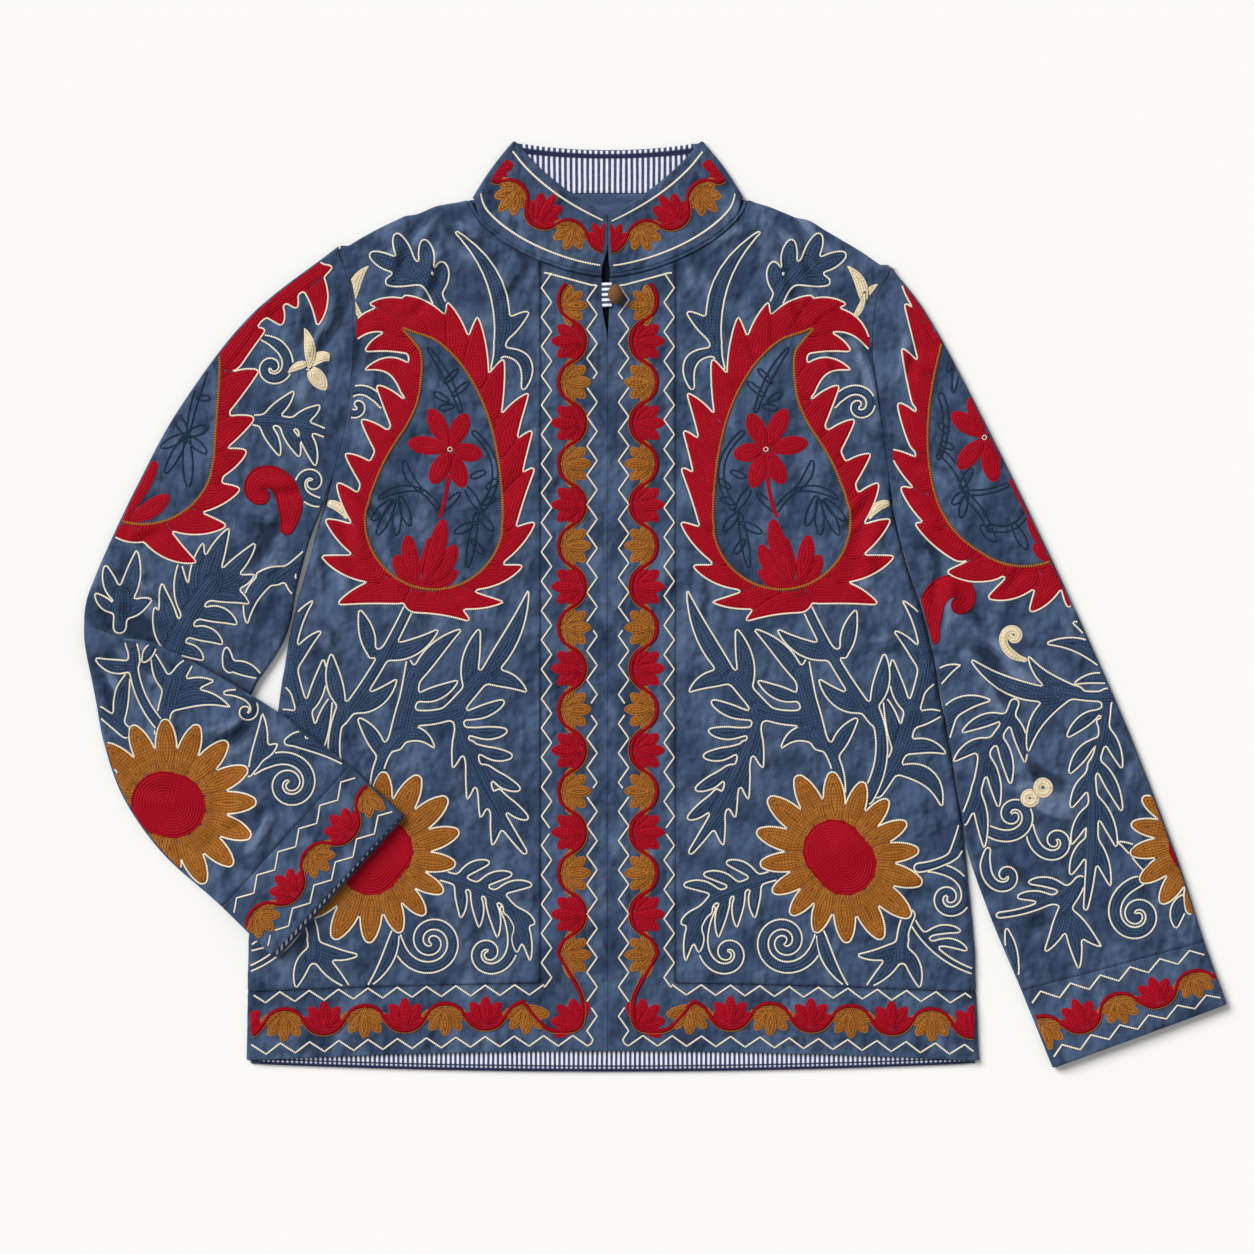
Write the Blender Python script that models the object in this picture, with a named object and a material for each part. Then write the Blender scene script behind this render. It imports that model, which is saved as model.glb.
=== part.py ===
"""A velvet jacket with a stand collar, laid flat on its back with the right sleeve bent across the front.

Metres, +Z up. The garment is drawn with x = 0 on the centre front, y = 0 at the front hem and z = 0 on the
surface it lies on; +Y runs to the neck, and the wearer's right side is at -X. The last lines centre it.
Each panel is a wall of cloth: a grid of outer points, a grid of inner points, and the rim between them.
"""

import math

import bmesh
import bpy
import numpy as np
from mathutils import Matrix, Vector

for thing in list(bpy.data.objects):
    bpy.data.objects.remove(thing)

# Cloth and seams
CLOTH = 0.0022  # velvet, thin wadding and backing together
LINING = 0.0006
SEAM_GAP = 0.0003
ARMHOLE_GAP = 0.0006
TOP = 0.0060  # outer face of the upper layer where the jacket lies flattest, and height of its folded edges
BACK_INSET = 0.0037  # the back panel stops this far inside a rolled seam

# Body
SHOULDER_POINT = {"right": (0.205, 0.612), "left": (0.214, 0.597)}
NECK_POINT = (0.1065, 0.6506)
NECK_DROP = 0.0590  # neck point down to the front neck seam at the centre
NECK_SHAPE = 1.6  # exponent of the neck curve; 2 would be an ellipse
SHOULDER_SWELL = 0.006  # how far the shoulder line bulges above a straight one
UNDERARM = 0.420  # where the armhole goes under the side
FRONT_HEM = {"centre": 0.004, "side": -0.003}
BACK_HEM = {"centre": -0.012, "side": -0.006}
BORDER = 0.0513  # width of the worked border down the fronts and along the hem
SLIT = {"closed": 0.0004, "right": 0.0050, "left": 0.0015}  # half gap when shut, and at its widest
SLIT_HEIGHTS = {"starts": 0.540, "full": 0.575, "narrows": 0.596, "shut": 0.618}

# height above the hem, half width on the wearer's right, half width on the left
SIDE_SECTIONS = (
    (-0.020, 0.2750, 0.2830),
    (0.000, 0.2750, 0.2825),
    (0.097, 0.2730, 0.2780),
    (0.200, 0.2600, 0.2660),
    (0.320, 0.2420, 0.2435),
    (0.400, 0.2210, 0.2200),
    (0.473, 0.2010, 0.2090),
    (0.530, 0.1940, 0.2010),
    (0.575, 0.1945, 0.2040),
    (0.600, 0.2005, 0.2150),
    (0.625, 0.2080, 0.2200),
)

# Creases in the fronts: x and y of each end, height, half width
BODY_FOLDS = (
    (-0.118, 0.638, -0.150, 0.560, 0.0012, 0.009),
    (-0.090, 0.606, -0.100, 0.520, 0.0009, 0.010),
    (0.112, 0.636, 0.150, 0.560, 0.0012, 0.009),
    (0.088, 0.602, 0.104, 0.520, 0.0009, 0.010),
    (-0.182, 0.590, -0.180, 0.470, 0.0011, 0.010),
    (0.190, 0.575, 0.190, 0.460, 0.0011, 0.010),
    (0.232, 0.330, 0.180, 0.250, 0.0009, 0.012),
    (-0.220, 0.355, -0.175, 0.310, 0.0009, 0.012),
    (0.255, 0.190, 0.170, 0.150, 0.0008, 0.013),
)

# Sleeves: one row for each section, from the armhole to the cuff's edge.
# name, x and y of the outer end, x and y of the inner end, bow of the section towards the body
LEFT_SLEEVE = (
    ("armhole", 0.2143, 0.5970, 0.2170, 0.4200, 0.0),
    ("cap", 0.2450, 0.5600, 0.2245, 0.3980, 0.0060),
    ("upper arm", 0.2895, 0.4760, 0.2400, 0.3480, 0.0020),
    ("elbow", 0.3420, 0.3680, 0.2555, 0.2850, 0.0),
    ("forearm", 0.3930, 0.2540, 0.2725, 0.1900, 0.0),
    ("lower arm", 0.4330, 0.1500, 0.2900, 0.1120, 0.0),
    ("cuff seam", 0.4535, 0.0870, 0.3145, 0.0495, 0.0),
    ("cuff edge", 0.4704, 0.0403, 0.3378, -0.0084, 0.0),
)
RIGHT_SLEEVE = (
    ("armhole", -0.2050, 0.6120, -0.2160, 0.4200, 0.0),
    ("cap", -0.2730, 0.5620, -0.2265, 0.3930, 0.0060),
    ("upper arm", -0.3250, 0.4940, -0.2360, 0.3580, 0.0030),
    ("above the elbow", -0.3560, 0.4380, -0.2445, 0.3200, 0.0),
    ("tuck", -0.3800, 0.3880, -0.2640, 0.2880, 0.0),
    ("tuck end", -0.3915, 0.3610, -0.2860, 0.2640, 0.0),
    ("tuck back", -0.3965, 0.3470, -0.3380, 0.3000, 0.0),
    ("crease", -0.3985, 0.3310, -0.3850, 0.3245, 0.0),
    ("turn", -0.3965, 0.3060, -0.3720, 0.3185, 0.0),
    ("over", -0.3900, 0.2720, -0.3450, 0.3140, 0.0),
    ("forearm", -0.3830, 0.2360, -0.3120, 0.2980, 0.0),
    ("middle", -0.3680, 0.1950, -0.2800, 0.2800, 0.0),
    ("lower arm", -0.3380, 0.1530, -0.2400, 0.2545, 0.0),
    ("cuff seam", -0.2930, 0.1130, -0.1960, 0.2205, 0.0),
    ("cuff edge", -0.2557, 0.0777, -0.1559, 0.1847, 0.0),
)
CREASE = 7  # the row of RIGHT_SLEEVE that the forearm turns on
SLEEVE_PUFF = 0.0008  # how much higher a sleeve stands in the middle
CUFF_RISE = 0.0018  # how much higher the open end of a cuff stands than its seam
LIE_ON = 0.0078  # height of the forearm's underside where it lies on the sleeve or the front
DRAPE_SLOPE = 0.22  # how fast the forearm comes down beyond the edge of what it lies on

# Creases across the sleeves, above and below the bend: x and y of each end, height, half width
UPPER_FOLDS = (
    (0.235, 0.545, 0.232, 0.440, 0.0010, 0.009),
    (0.248, 0.390, 0.330, 0.330, 0.0009, 0.010),
    (0.268, 0.290, 0.350, 0.270, 0.0009, 0.010),
    (0.300, 0.170, 0.390, 0.210, 0.0008, 0.011),
    (-0.225, 0.560, -0.235, 0.440, 0.0010, 0.009),
    (-0.250, 0.480, -0.325, 0.450, 0.0009, 0.010),
    (-0.262, 0.410, -0.330, 0.380, 0.0009, 0.010),
)
FOREARM_FOLDS = (
    (-0.375, 0.290, -0.300, 0.240, 0.0009, 0.010),
    (-0.330, 0.210, -0.250, 0.200, 0.0008, 0.011),
)

# Collar, piping and closure
COLLAR_CORNER = (0.0722, 0.6955)
COLLAR_TOP = {"front": 0.6385, "back": 0.6885}
BACK_NECK = 0.6560
COLLAR_SAG = 0.0045  # how far the front halves' top edge bows below a straight line
PIPING = 0.0030
BUTTON_AT = (0.0057, 0.5785)
BUTTON = {"radius": 0.0060, "flatness": 0.82, "centre": 0.0121, "shank": 0.0022, "foot": 0.0064}
LOOP = {"inset": 0.0004, "to": 0.0028, "bottom": 0.5692, "top": 0.5875, "cloth": 0.0010}

VELVET = {"colour": (0.075, 0.118, 0.205), "rough": 0.85}
STRIPED_COTTON = {"colour": (0.30, 0.34, 0.48), "rough": 0.80}
FACING = {"colour": (0.085, 0.125, 0.210), "rough": 0.80}
CORD_BUTTON = {"colour": (0.13, 0.055, 0.020), "rough": 0.70}

SIGN = {"right": -1.0, "left": 1.0}


def material(name, look):
    """A Principled material of the given colour and roughness."""
    made = bpy.data.materials.new(name)
    made.use_nodes = True
    shader = made.node_tree.nodes["Principled BSDF"]
    shader.inputs["Base Color"].default_value = (*look["colour"], 1.0)
    shader.inputs["Roughness"].default_value = look["rough"]
    shader.inputs["Metallic"].default_value = 0.0
    return made


velvet = material("velvet", VELVET)
striped_cotton = material("striped cotton", STRIPED_COTTON)
facing_cloth = material("facing", FACING)
button_cord = material("button cord", CORD_BUTTON)


# Curves and heights

def smoothstep(low, high, value):
    """0 below low, 1 above high, and a smooth rise between them."""
    share = np.clip((value - low) / (high - low), 0.0, 1.0)
    return share * share * (3.0 - 2.0 * share)


def spline(rows, at):
    """Points on a Catmull-Rom curve through the rows, where at counts rows from 0."""
    rows = np.asarray(rows, float)
    padded = np.vstack([2 * rows[0] - rows[1], rows, 2 * rows[-1] - rows[-2]])
    at = np.clip(np.asarray(at, float), 0, len(rows) - 1)
    first = np.minimum(at.astype(int), len(rows) - 2)
    t = (at - first)[..., None]
    a, b, c, d = (padded[first + k] for k in range(4))
    return b + 0.5 * t * (c - a + t * (2 * a - 5 * b + 4 * c - d + t * (3 * (b - c) + d - a)))


SIDE_CURVE = spline(SIDE_SECTIONS, np.linspace(0, len(SIDE_SECTIONS) - 1, 120))
SIDE_COLUMN = {"right": 1, "left": 2}


def half_width(side, y):
    """How far the side of the body lies from the centre front at height y."""
    return np.interp(y, SIDE_CURVE[:, 0], SIDE_CURVE[:, SIDE_COLUMN[side]])


def neck_seam(x, shrink=0.0):
    """Height of the front neck curve at a distance x from the centre, moved up and in by shrink."""
    reach, drop = NECK_POINT[0] - shrink, NECK_DROP - shrink
    share = np.clip(1 - (np.abs(x) / reach) ** NECK_SHAPE, 0, 1)
    return NECK_POINT[1] - drop * share ** (1 / NECK_SHAPE)


def shoulder_line(side, x):
    """Height of the shoulder at a distance x from the centre."""
    end_x, end_y = SHOULDER_POINT[side]
    share = np.clip((x - NECK_POINT[0]) / (end_x - NECK_POINT[0]), 0, 1)
    return NECK_POINT[1] + share * (end_y - NECK_POINT[1]) + SHOULDER_SWELL * np.sin(np.pi * share)


def hem_line(hem, x):
    """Height of a hem at a distance x from the centre; it curves from its centre to its side."""
    return hem["centre"] + (hem["side"] - hem["centre"]) * (x / SIDE_SECTIONS[1][1]) ** 2


def slit_edge(side, y):
    """Half the gap between the front edges: shut below, open under the collar, shut at its top."""
    opened = smoothstep(SLIT_HEIGHTS["starts"], SLIT_HEIGHTS["full"], y)
    opened = opened * (1 - smoothstep(SLIT_HEIGHTS["narrows"], SLIT_HEIGHTS["shut"], y))
    return SLIT["closed"] + (SLIT[side] - SLIT["closed"]) * opened


def folds(table, x, y):
    """Height that the creases in a table add at x, y; each is a soft ridge that fades at its ends."""
    total = np.zeros(np.broadcast(x, y).shape)
    for x1, y1, x2, y2, height, half in table:
        run = np.hypot(x2 - x1, y2 - y1)
        along = ((x - x1) * (x2 - x1) + (y - y1) * (y2 - y1)) / run**2
        across = ((x - x1) * (y2 - y1) - (y - y1) * (x2 - x1)) / run
        total = total + height * np.sin(np.pi * np.clip(along, 0, 1)) ** 2 * np.exp(-((across / half) ** 2))
    return total


def front_height(x, y):
    """Outer face of the fronts: a soft rise over the chest, and the creases."""
    rise = 0.0006 * np.exp(-(((np.abs(x) - 0.12) / 0.07) ** 2)) * smoothstep(0.05, 0.30, y)
    return TOP + rise + folds(BODY_FOLDS, x, y)


def side_roll(y):
    """1 where the side seam rolls under, 0 along the armhole."""
    return 1 - smoothstep(UNDERARM - 0.012, UNDERARM + 0.028, y)


def shoulder_roll(x):
    """1 along the shoulder, where the front rolls over to the back, and 0 along the neck."""
    return smoothstep(NECK_POINT[0] - 0.003, NECK_POINT[0] + 0.006, x)


# Walls of cloth

def finished(name, mesh, look):
    """The object of a bmesh, turned right side out and smooth but for its sharp rims."""
    if mesh.calc_volume(signed=True) < 0:
        bmesh.ops.reverse_faces(mesh, faces=mesh.faces)
    data = bpy.data.meshes.new(name)
    mesh.to_mesh(data)
    mesh.free()
    data.materials.append(look)
    data.shade_smooth()
    data.set_sharp_from_angle(angle=math.radians(50))
    made = bpy.data.objects.new(name, data)
    bpy.context.scene.collection.objects.link(made)
    return made


def wall(name, outer, inner, look, around=False):
    """One closed piece of cloth between two grids of points; around joins the last column to the first."""
    rows, columns = outer.shape[:2]
    mesh = bmesh.new()
    skins = []
    for grid in (outer, inner):
        skins.append([[mesh.verts.new(Vector(point)) for point in row] for row in grid])
    for skin, turn in zip(skins, (1, -1)):
        for r in range(rows - 1):
            for c in range(columns if around else columns - 1):
                d = (c + 1) % columns
                corners = (skin[r][c], skin[r][d], skin[r + 1][d], skin[r + 1][c])
                mesh.faces.new(corners[::turn])
    first = [(0, c) for c in range(columns)]
    last = [(rows - 1, c) for c in reversed(range(columns))]
    rims = [first, last]
    if not around:
        up = [(r, columns - 1) for r in range(1, rows)]
        down = [(r, 0) for r in reversed(range(1, rows - 1))]
        rims = [first + up + last[1:] + down]
    for rim in rims:
        for k, (r1, c1) in enumerate(rim):
            r2, c2 = rim[(k + 1) % len(rim)]
            mesh.faces.new((skins[0][r2][c2], skins[0][r1][c1], skins[1][r1][c1], skins[1][r2][c2]))
    return finished(name, mesh, look)


def rod(name, rings, look):
    """A solid through rings of points, closed at both ends."""
    mesh = bmesh.new()
    loops = [[mesh.verts.new(Vector(point)) for point in ring] for ring in rings]
    for low, high in zip(loops, loops[1:]):
        for k in range(len(low)):
            after = (k + 1) % len(low)
            mesh.faces.new((low[k], low[after], high[after], high[k]))
    mesh.faces.new(loops[0][::-1])
    mesh.faces.new(loops[-1])
    return finished(name, mesh, look)


def stack(x, y, z):
    """One grid of points from three arrays that broadcast together."""
    return np.stack(np.broadcast_arrays(x, y, z), axis=-1)


def roll_over(grid, reach, amount, axis, steps):
    """The points that carry the end of a grid over and down to the surface in a quarter turn.

    grid holds the last points of the flat part, reach the radius of the turn at each, and amount is 1 for a
    full turn and 0 for an edge that goes on flat for the length TOP; axis is 0 for an edge towards x.
    """
    made = []
    for k in range(1, steps + 1):
        turn = math.pi / 2 * k / steps
        moved = grid.copy()
        moved[..., axis] += amount * reach * math.sin(turn) + (1 - amount) * TOP * k / steps
        moved[..., 2] = amount * reach * math.cos(turn) + (1 - amount) * grid[..., 2]
        made.append(moved)
    return np.stack(made, axis=1)


# Fronts: the main panel of each, then the border down its edge and along the hem

FRONT_COLUMNS = (0.0, 0.012, 0.024, 0.034, 0.042, 0.048, 0.052, 0.0552, 0.060, 0.072, 0.090, 0.108, 0.126)
FRONT_ROWS = np.concatenate([np.linspace(0, 0.66, 13), np.linspace(0.66, 1, 15)[1:]])


def front_panel(side):
    """The main panel of one front, from the border to the side seam and up to the neck and shoulder."""
    start = BORDER + SEAM_GAP
    end_y = SHOULDER_POINT[side][1] - TOP
    reach_top = half_width(side, end_y) - TOP
    s = np.array([*FRONT_COLUMNS, reach_top - start])[None, :] / (reach_top - start)
    t = FRONT_ROWS[:, None]
    bottom = hem_line(FRONT_HEM, start) + BORDER + SEAM_GAP
    side_y = bottom + t * (end_y - bottom)
    for _ in range(4):
        x = start + s * (half_width(side, side_y) - TOP - start)
        last = x[-1:]
        amount = shoulder_roll(last)
        top = (1 - amount) * (neck_seam(last) - SEAM_GAP) + amount * shoulder_line(side, last) - TOP
        low = bottom + (hem_line(FRONT_HEM, x) - hem_line(FRONT_HEM, start)) * (1 - t)
        y = low * (1 - t) + t * top
        side_y = y[:, -1:]
    skins = []
    for below in (0.0, CLOTH):
        flat = stack(SIGN[side] * x, y, front_height(SIGN[side] * x, y) - below)
        flat[..., 0] *= SIGN[side]
        edge = flat[:, -1]
        grid = np.concatenate([flat, roll_over(edge, edge[:, 2], side_roll(edge[:, 1]), 0, 3)], axis=1)
        edge = grid[-1]
        grid = np.concatenate([grid, roll_over(edge, edge[:, 2], shoulder_roll(edge[:, 0]), 1, 3).swapaxes(0, 1)])
        grid[..., 0] *= SIGN[side]
        skins.append(grid)
    return wall(f"front_{side}", *skins, velvet)


def border(side):
    """The worked border of one front: down its edge from the neck, round the corner and along the hem."""
    c = np.linspace(0, 1, 5)[None, :]
    k = np.linspace(0, 1, 30)[:, None]
    inset = BORDER - SEAM_GAP
    corner_x = c * BORDER
    corner_y = hem_line(FRONT_HEM, corner_x) + c * inset
    top_x = slit_edge(side, 0.59) + c * (BORDER - slit_edge(side, 0.59))
    top_y = neck_seam(top_x) - SEAM_GAP
    y_down = top_y + k * (corner_y - top_y)
    edge = slit_edge(side, y_down)
    x_down = edge + c * (BORDER - edge)
    reach = half_width(side, hem_line(FRONT_HEM, 0.27) + c * inset) - TOP
    m = np.linspace(0, 1, 13)[1:, None]
    x_along = x_down[-1:] + m * (reach - x_down[-1:])
    y_along = hem_line(FRONT_HEM, x_along) + c * inset
    x, y = np.vstack([x_down, x_along]), np.vstack([y_down, y_along])
    skins = []
    for below in (0.0, CLOTH):
        flat = stack(x, y, front_height(x, y) - below)
        end = flat[-1]
        grid = np.concatenate([flat, roll_over(end, end[:, 2], 1.0, 0, 3).swapaxes(0, 1)])
        grid[..., 0] *= SIGN[side]
        skins.append(grid)
    return wall(f"border_{side}", *skins, velvet)


for side in SIGN:
    front_panel(side)
    border(side)


# Back: one panel flat on the surface, with the striped strip inside its hem and the facing at the neck

def back_neck(x):
    """Height of the back neck seam; it dips from its centre to the neck points."""
    return BACK_NECK + (NECK_POINT[1] - BACK_NECK) * (x / NECK_POINT[0]) ** 2


def back_edge(side, x):
    """Height of the back panel's top edge at a distance x from the centre."""
    amount = shoulder_roll(x)
    over = shoulder_line(side, x) - BACK_INSET * amount**0.4
    return (1 - amount) * (back_neck(x) - SEAM_GAP) + amount * over


BACK_COLUMNS = (0.0, 0.028, 0.056, 0.082, 0.100, 0.1055, 0.109, 0.1125, 0.130, 0.152, 0.175)


def back_half(side):
    """x and y of the points of half the back, from the centre out."""
    end_y = SHOULDER_POINT[side][1] - BACK_INSET
    top_reach = half_width(side, end_y)
    s = np.array([*BACK_COLUMNS, top_reach])[None, :] / top_reach
    t = np.concatenate([np.linspace(0, 0.70, 14), np.linspace(0.70, 1, 15)[1:]])[:, None]
    low = hem_line(BACK_HEM, s * half_width(side, 0.0))
    side_y = low[:, -1:] + t * (end_y - low[:, -1:])
    x = s * (half_width(side, side_y) - BACK_INSET * side_roll(side_y) ** 0.4)
    top = back_edge(side, x[-1:])
    return x, low + t * (top - low)


halves = {side: back_half(side) for side in SIGN}
back_x = np.concatenate([-halves["right"][0][:, :0:-1], halves["left"][0]], axis=1)
back_y = np.concatenate([halves["right"][1][:, :0:-1], halves["left"][1]], axis=1)
wall("back", stack(back_x, back_y, CLOTH), stack(back_x, back_y, 0.0), velvet)


def inside_layer(name, x, y, look, lift=SEAM_GAP):
    """A thin layer that lies on the inside of the back."""
    low = CLOTH + lift
    return wall(name, stack(x, y, low + LINING), stack(x, y, low), look)


share = np.linspace(-1, 1, 25)[None, :]
strip_reach = np.where(share < 0, half_width("right", 0.0), half_width("left", 0.0)) - 0.012
strip_x = share * strip_reach
strip_y = hem_line(BACK_HEM, strip_x) + np.array([[0.0004], [0.016], [0.032]])
inside_layer("hem_lining", strip_x, strip_y, striped_cotton)

facing_x = np.linspace(-0.052, 0.052, 13)[None, :]
facing_low = 0.600 + 0.012 * (facing_x / 0.052) ** 2
facing_y = facing_low + np.array([[0.0], [0.5], [1.0]]) * (back_neck(facing_x) - SEAM_GAP - facing_low)
inside_layer("neck_facing", facing_x, facing_y, facing_cloth)


# Sleeves and cuffs: flat tubes, sections from the outer fold to the inner one

def outside_distance(polygon, x, y):
    """Distance of each point from a polygon, 0 inside it."""
    nearest = np.full(np.broadcast(x, y).shape, np.inf)
    crossings = np.zeros(nearest.shape, int)
    for (x1, y1), (x2, y2) in zip(polygon, np.roll(polygon, -1, axis=0)):
        run = (x2 - x1) ** 2 + (y2 - y1) ** 2
        along = np.clip(((x - x1) * (x2 - x1) + (y - y1) * (y2 - y1)) / run, 0, 1)
        nearest = np.minimum(nearest, np.hypot(x - x1 - along * (x2 - x1), y - y1 - along * (y2 - y1)))
        spans = (y1 > y) != (y2 > y)
        level = np.where(spans, x1 + (y - y1) * (x2 - x1) / np.where(y2 == y1, 1, y2 - y1), x)
        crossings += spans & (x < level)
    return np.where(crossings % 2 == 1, 0.0, nearest)


def section_ends(table, at):
    """Outer end, inner end and bow of the sections at the given rows."""
    found = spline([row[1:] for row in table], at)
    return found[..., 0:2], found[..., 2:4], found[..., 4]


upper_rows = np.linspace(2, CREASE, 40)
upper_outer, upper_inner, _ = section_ends(RIGHT_SLEEVE, upper_rows)
UPPER_ARM = np.vstack([upper_outer, upper_inner[::-1]])


def forearm_lift(x, y, at):
    """Height of the underside of the right sleeve: the forearm lies on the upper arm and on the front."""
    beside_arm = outside_distance(UPPER_ARM, x, y)
    beside_body = np.maximum(-x - half_width("right", y), 0)
    beside_body = np.where(y > UNDERARM, 1.0, beside_body)
    lift = LIE_ON - DRAPE_SLOPE * np.minimum(beside_arm, beside_body)
    return np.maximum(lift, 0) * smoothstep(CREASE, CREASE + 0.8, at)


TOP_SHARES = 0.5 - 0.5 * np.cos(np.pi * np.linspace(0.06, 0.94, 9))
BOTTOM_SHARES = 0.5 - 0.5 * np.cos(np.pi * np.linspace(0.1, 0.9, 5))


def sleeve_skins(side, table, rows, trim=0.0, cloth=CLOTH):
    """Outer and inner skin of a flat tube through the sections of the table.

    trim moves the outer skin in, for a lining inside the tube.
    """
    at = np.asarray(rows, float)[:, None]
    outer_end, inner_end, bow = section_ends(table, at[:, 0])
    last = len(table) - 1
    height = TOP + CUFF_RISE * smoothstep(last - 1, last, at)
    run = inner_end - outer_end
    length = np.hypot(run[:, 0], run[:, 1])[:, None]
    along = run / length
    cap = np.radians([45.0, 0.0, -45.0])
    shares = np.concatenate([TOP_SHARES, np.ones(3), BOTTOM_SHARES[::-1], np.zeros(3)])[None, :]
    turns = np.concatenate([np.full(9, np.pi / 2), cap, np.full(5, -np.pi / 2), cap[::-1]])[None, :]
    outward = np.concatenate([np.zeros(9), np.ones(3), np.zeros(5), -np.ones(3)])[None, :]
    start, end = outer_end[0], inner_end[0]
    skins = []
    for inward in (trim, trim + cloth):
        radius = height / 2 - inward
        centre = height / 2 + shares * (length - height)
        centre = centre + outward * radius * np.cos(turns)
        x = outer_end[:, 0:1] + along[:, 0:1] * centre
        y = outer_end[:, 1:2] + along[:, 1:2] * centre
        middle = np.sin(np.pi * np.clip(centre / length, 0, 1))
        if at[0] == 0:
            first = start + (end - start) * (centre / length)[..., None]
            armhole = SIGN[side] * (half_width(side, first[..., 1]) + ARMHOLE_GAP) - first[..., 0]
            x = x + armhole * (1 - smoothstep(0.0, 1.2, at)) * np.minimum(1, 4 * middle)
        x = x - SIGN[side] * bow[:, None] * middle
        upper = np.sin(turns)
        arm = np.where(at < CREASE, folds(UPPER_FOLDS, x, y), folds(FOREARM_FOLDS, x, y))
        if side == "left":
            arm = folds(UPPER_FOLDS, x, y)
        puff = (SLEEVE_PUFF * middle + arm * middle**0.5) * (upper > 0.99)
        z = height / 2 + radius * upper + puff
        if side == "right":
            z = z + forearm_lift(x, y, at)
        skins.append(stack(x, y, z))
    return skins


def sleeve_and_cuff(side, table, rows):
    """One sleeve, its cuff, and the striped lining that shows in the cuff's opening."""
    last = len(table) - 1
    wall(f"sleeve_{side}", *sleeve_skins(side, table, rows), velvet, around=True)
    cuff_rows = np.linspace(last - 1 + 0.004, last, 4)
    wall(f"cuff_{side}", *sleeve_skins(side, table, cuff_rows), velvet, around=True)
    inside = sleeve_skins(side, table, np.linspace(last - 0.26, last - 0.02, 3), CLOTH + SEAM_GAP, LINING)
    wall(f"cuff_lining_{side}", *inside, striped_cotton, around=True)


left_rows = np.concatenate([np.linspace(0, 2, 9), np.linspace(2, 6 - 0.006, 12)[1:]])
right_rows = np.concatenate([np.linspace(0, 4, 12), np.linspace(4, 9, 16)[1:], np.linspace(9, 13 - 0.006, 9)[1:]])
sleeve_and_cuff("left", LEFT_SLEEVE, left_rows)
sleeve_and_cuff("right", RIGHT_SLEEVE, right_rows)


# Collar: one strip that runs from the centre front over the fold, behind the neck and back again

COLLAR_SHRINK = PIPING + 2 * SEAM_GAP
FRONT_SHARES = np.concatenate([np.linspace(0, 0.9, 11), [0.955, 1.0]])


def collar_half(side):
    """Bottom points, top points, outward direction and turn for each ruling, from the centre front to the back."""
    reach = NECK_POINT[0] - COLLAR_SHRINK
    low_end, high_end = np.array([reach, NECK_POINT[1]]), np.array(COLLAR_CORNER)
    fold = high_end - low_end
    out = np.array([fold[1], -fold[0]]) / np.hypot(*fold)
    radius = TOP / 2
    f = FRONT_SHARES
    low_x = reach * np.sin(np.pi / 2 * f)
    low_x[0] = slit_edge(side, 0.596)
    low = np.stack([low_x, neck_seam(low_x, COLLAR_SHRINK)], axis=1)
    start = np.array([SLIT["closed"], COLLAR_TOP["front"]])
    bend = np.sin(np.pi * f)[:, None] * COLLAR_SAG * np.array([0.62, -0.78])
    high = start + f[:, None] * (high_end - start) + bend
    pull = (smoothstep(0.75, 1.0, f) * radius)[:, None] * out
    low, high = low - pull, high - pull
    low[:, 1] += (back_neck(low[-1, 0]) - low[-1, 1]) * smoothstep(0.75, 1.0, f)
    back = np.linspace(0, 1, 9)[1:, None]
    low_back = low[-1] * (1 - back)
    low_back[:, 1:] = back_neck(low_back[:, :1])
    high_back = high[-1] * (1 - back)
    high_back[:, 1:] = COLLAR_TOP["back"] + (high[-1, 1] - COLLAR_TOP["back"]) * (1 - back) ** 2
    turns = np.radians([54.0, 18.0, -18.0, -54.0])
    lows = np.vstack([low, np.repeat(low[-1:], 4, axis=0), low[-1:], low_back])
    highs = np.vstack([high, np.repeat(high[-1:], 4, axis=0), high[-1:], high_back])
    count, behind = len(f), len(back) + 1
    angle = np.concatenate([np.full(count, np.pi / 2), turns, np.full(behind, -np.pi / 2)])
    return lows, highs, out, angle


def collar():
    """The stand collar."""
    v = np.linspace(0, 1, 5)[:, None]
    skins = []
    for inward in (0.0, CLOTH):
        halves = []
        for side in SIGN:
            low, high, out, angle = collar_half(side)
            radius = TOP / 2 - inward
            x = low[:, 0] + v * (high[:, 0] - low[:, 0]) + out[0] * radius * np.cos(angle)
            y = low[:, 1] + v * (high[:, 1] - low[:, 1]) + out[1] * radius * np.cos(angle)
            x[:, 0] = slit_edge(side, y[:, 0])
            z = TOP / 2 + radius * np.sin(angle) + 0 * v
            halves.append(stack(SIGN[side] * x, y, z))
        skins.append(np.concatenate([halves[0], halves[1][:, -2::-1]], axis=1))
    return wall("collar", *skins, velvet)


collar()

lining_share = np.linspace(-1, 1, 17)[None, :]
lining_low, lining_high = lining_share * 0.078, lining_share * 0.063
lining_y1 = back_neck(lining_low) + 0.0006
lining_y2 = COLLAR_TOP["back"] + 0.0045 * lining_share**2 - 0.0012
rise = np.array([[0.0], [0.5], [1.0]])
inside_layer("collar_lining", lining_low + rise * (lining_high - lining_low),
             lining_y1 + rise * (lining_y2 - lining_y1), striped_cotton)


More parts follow.
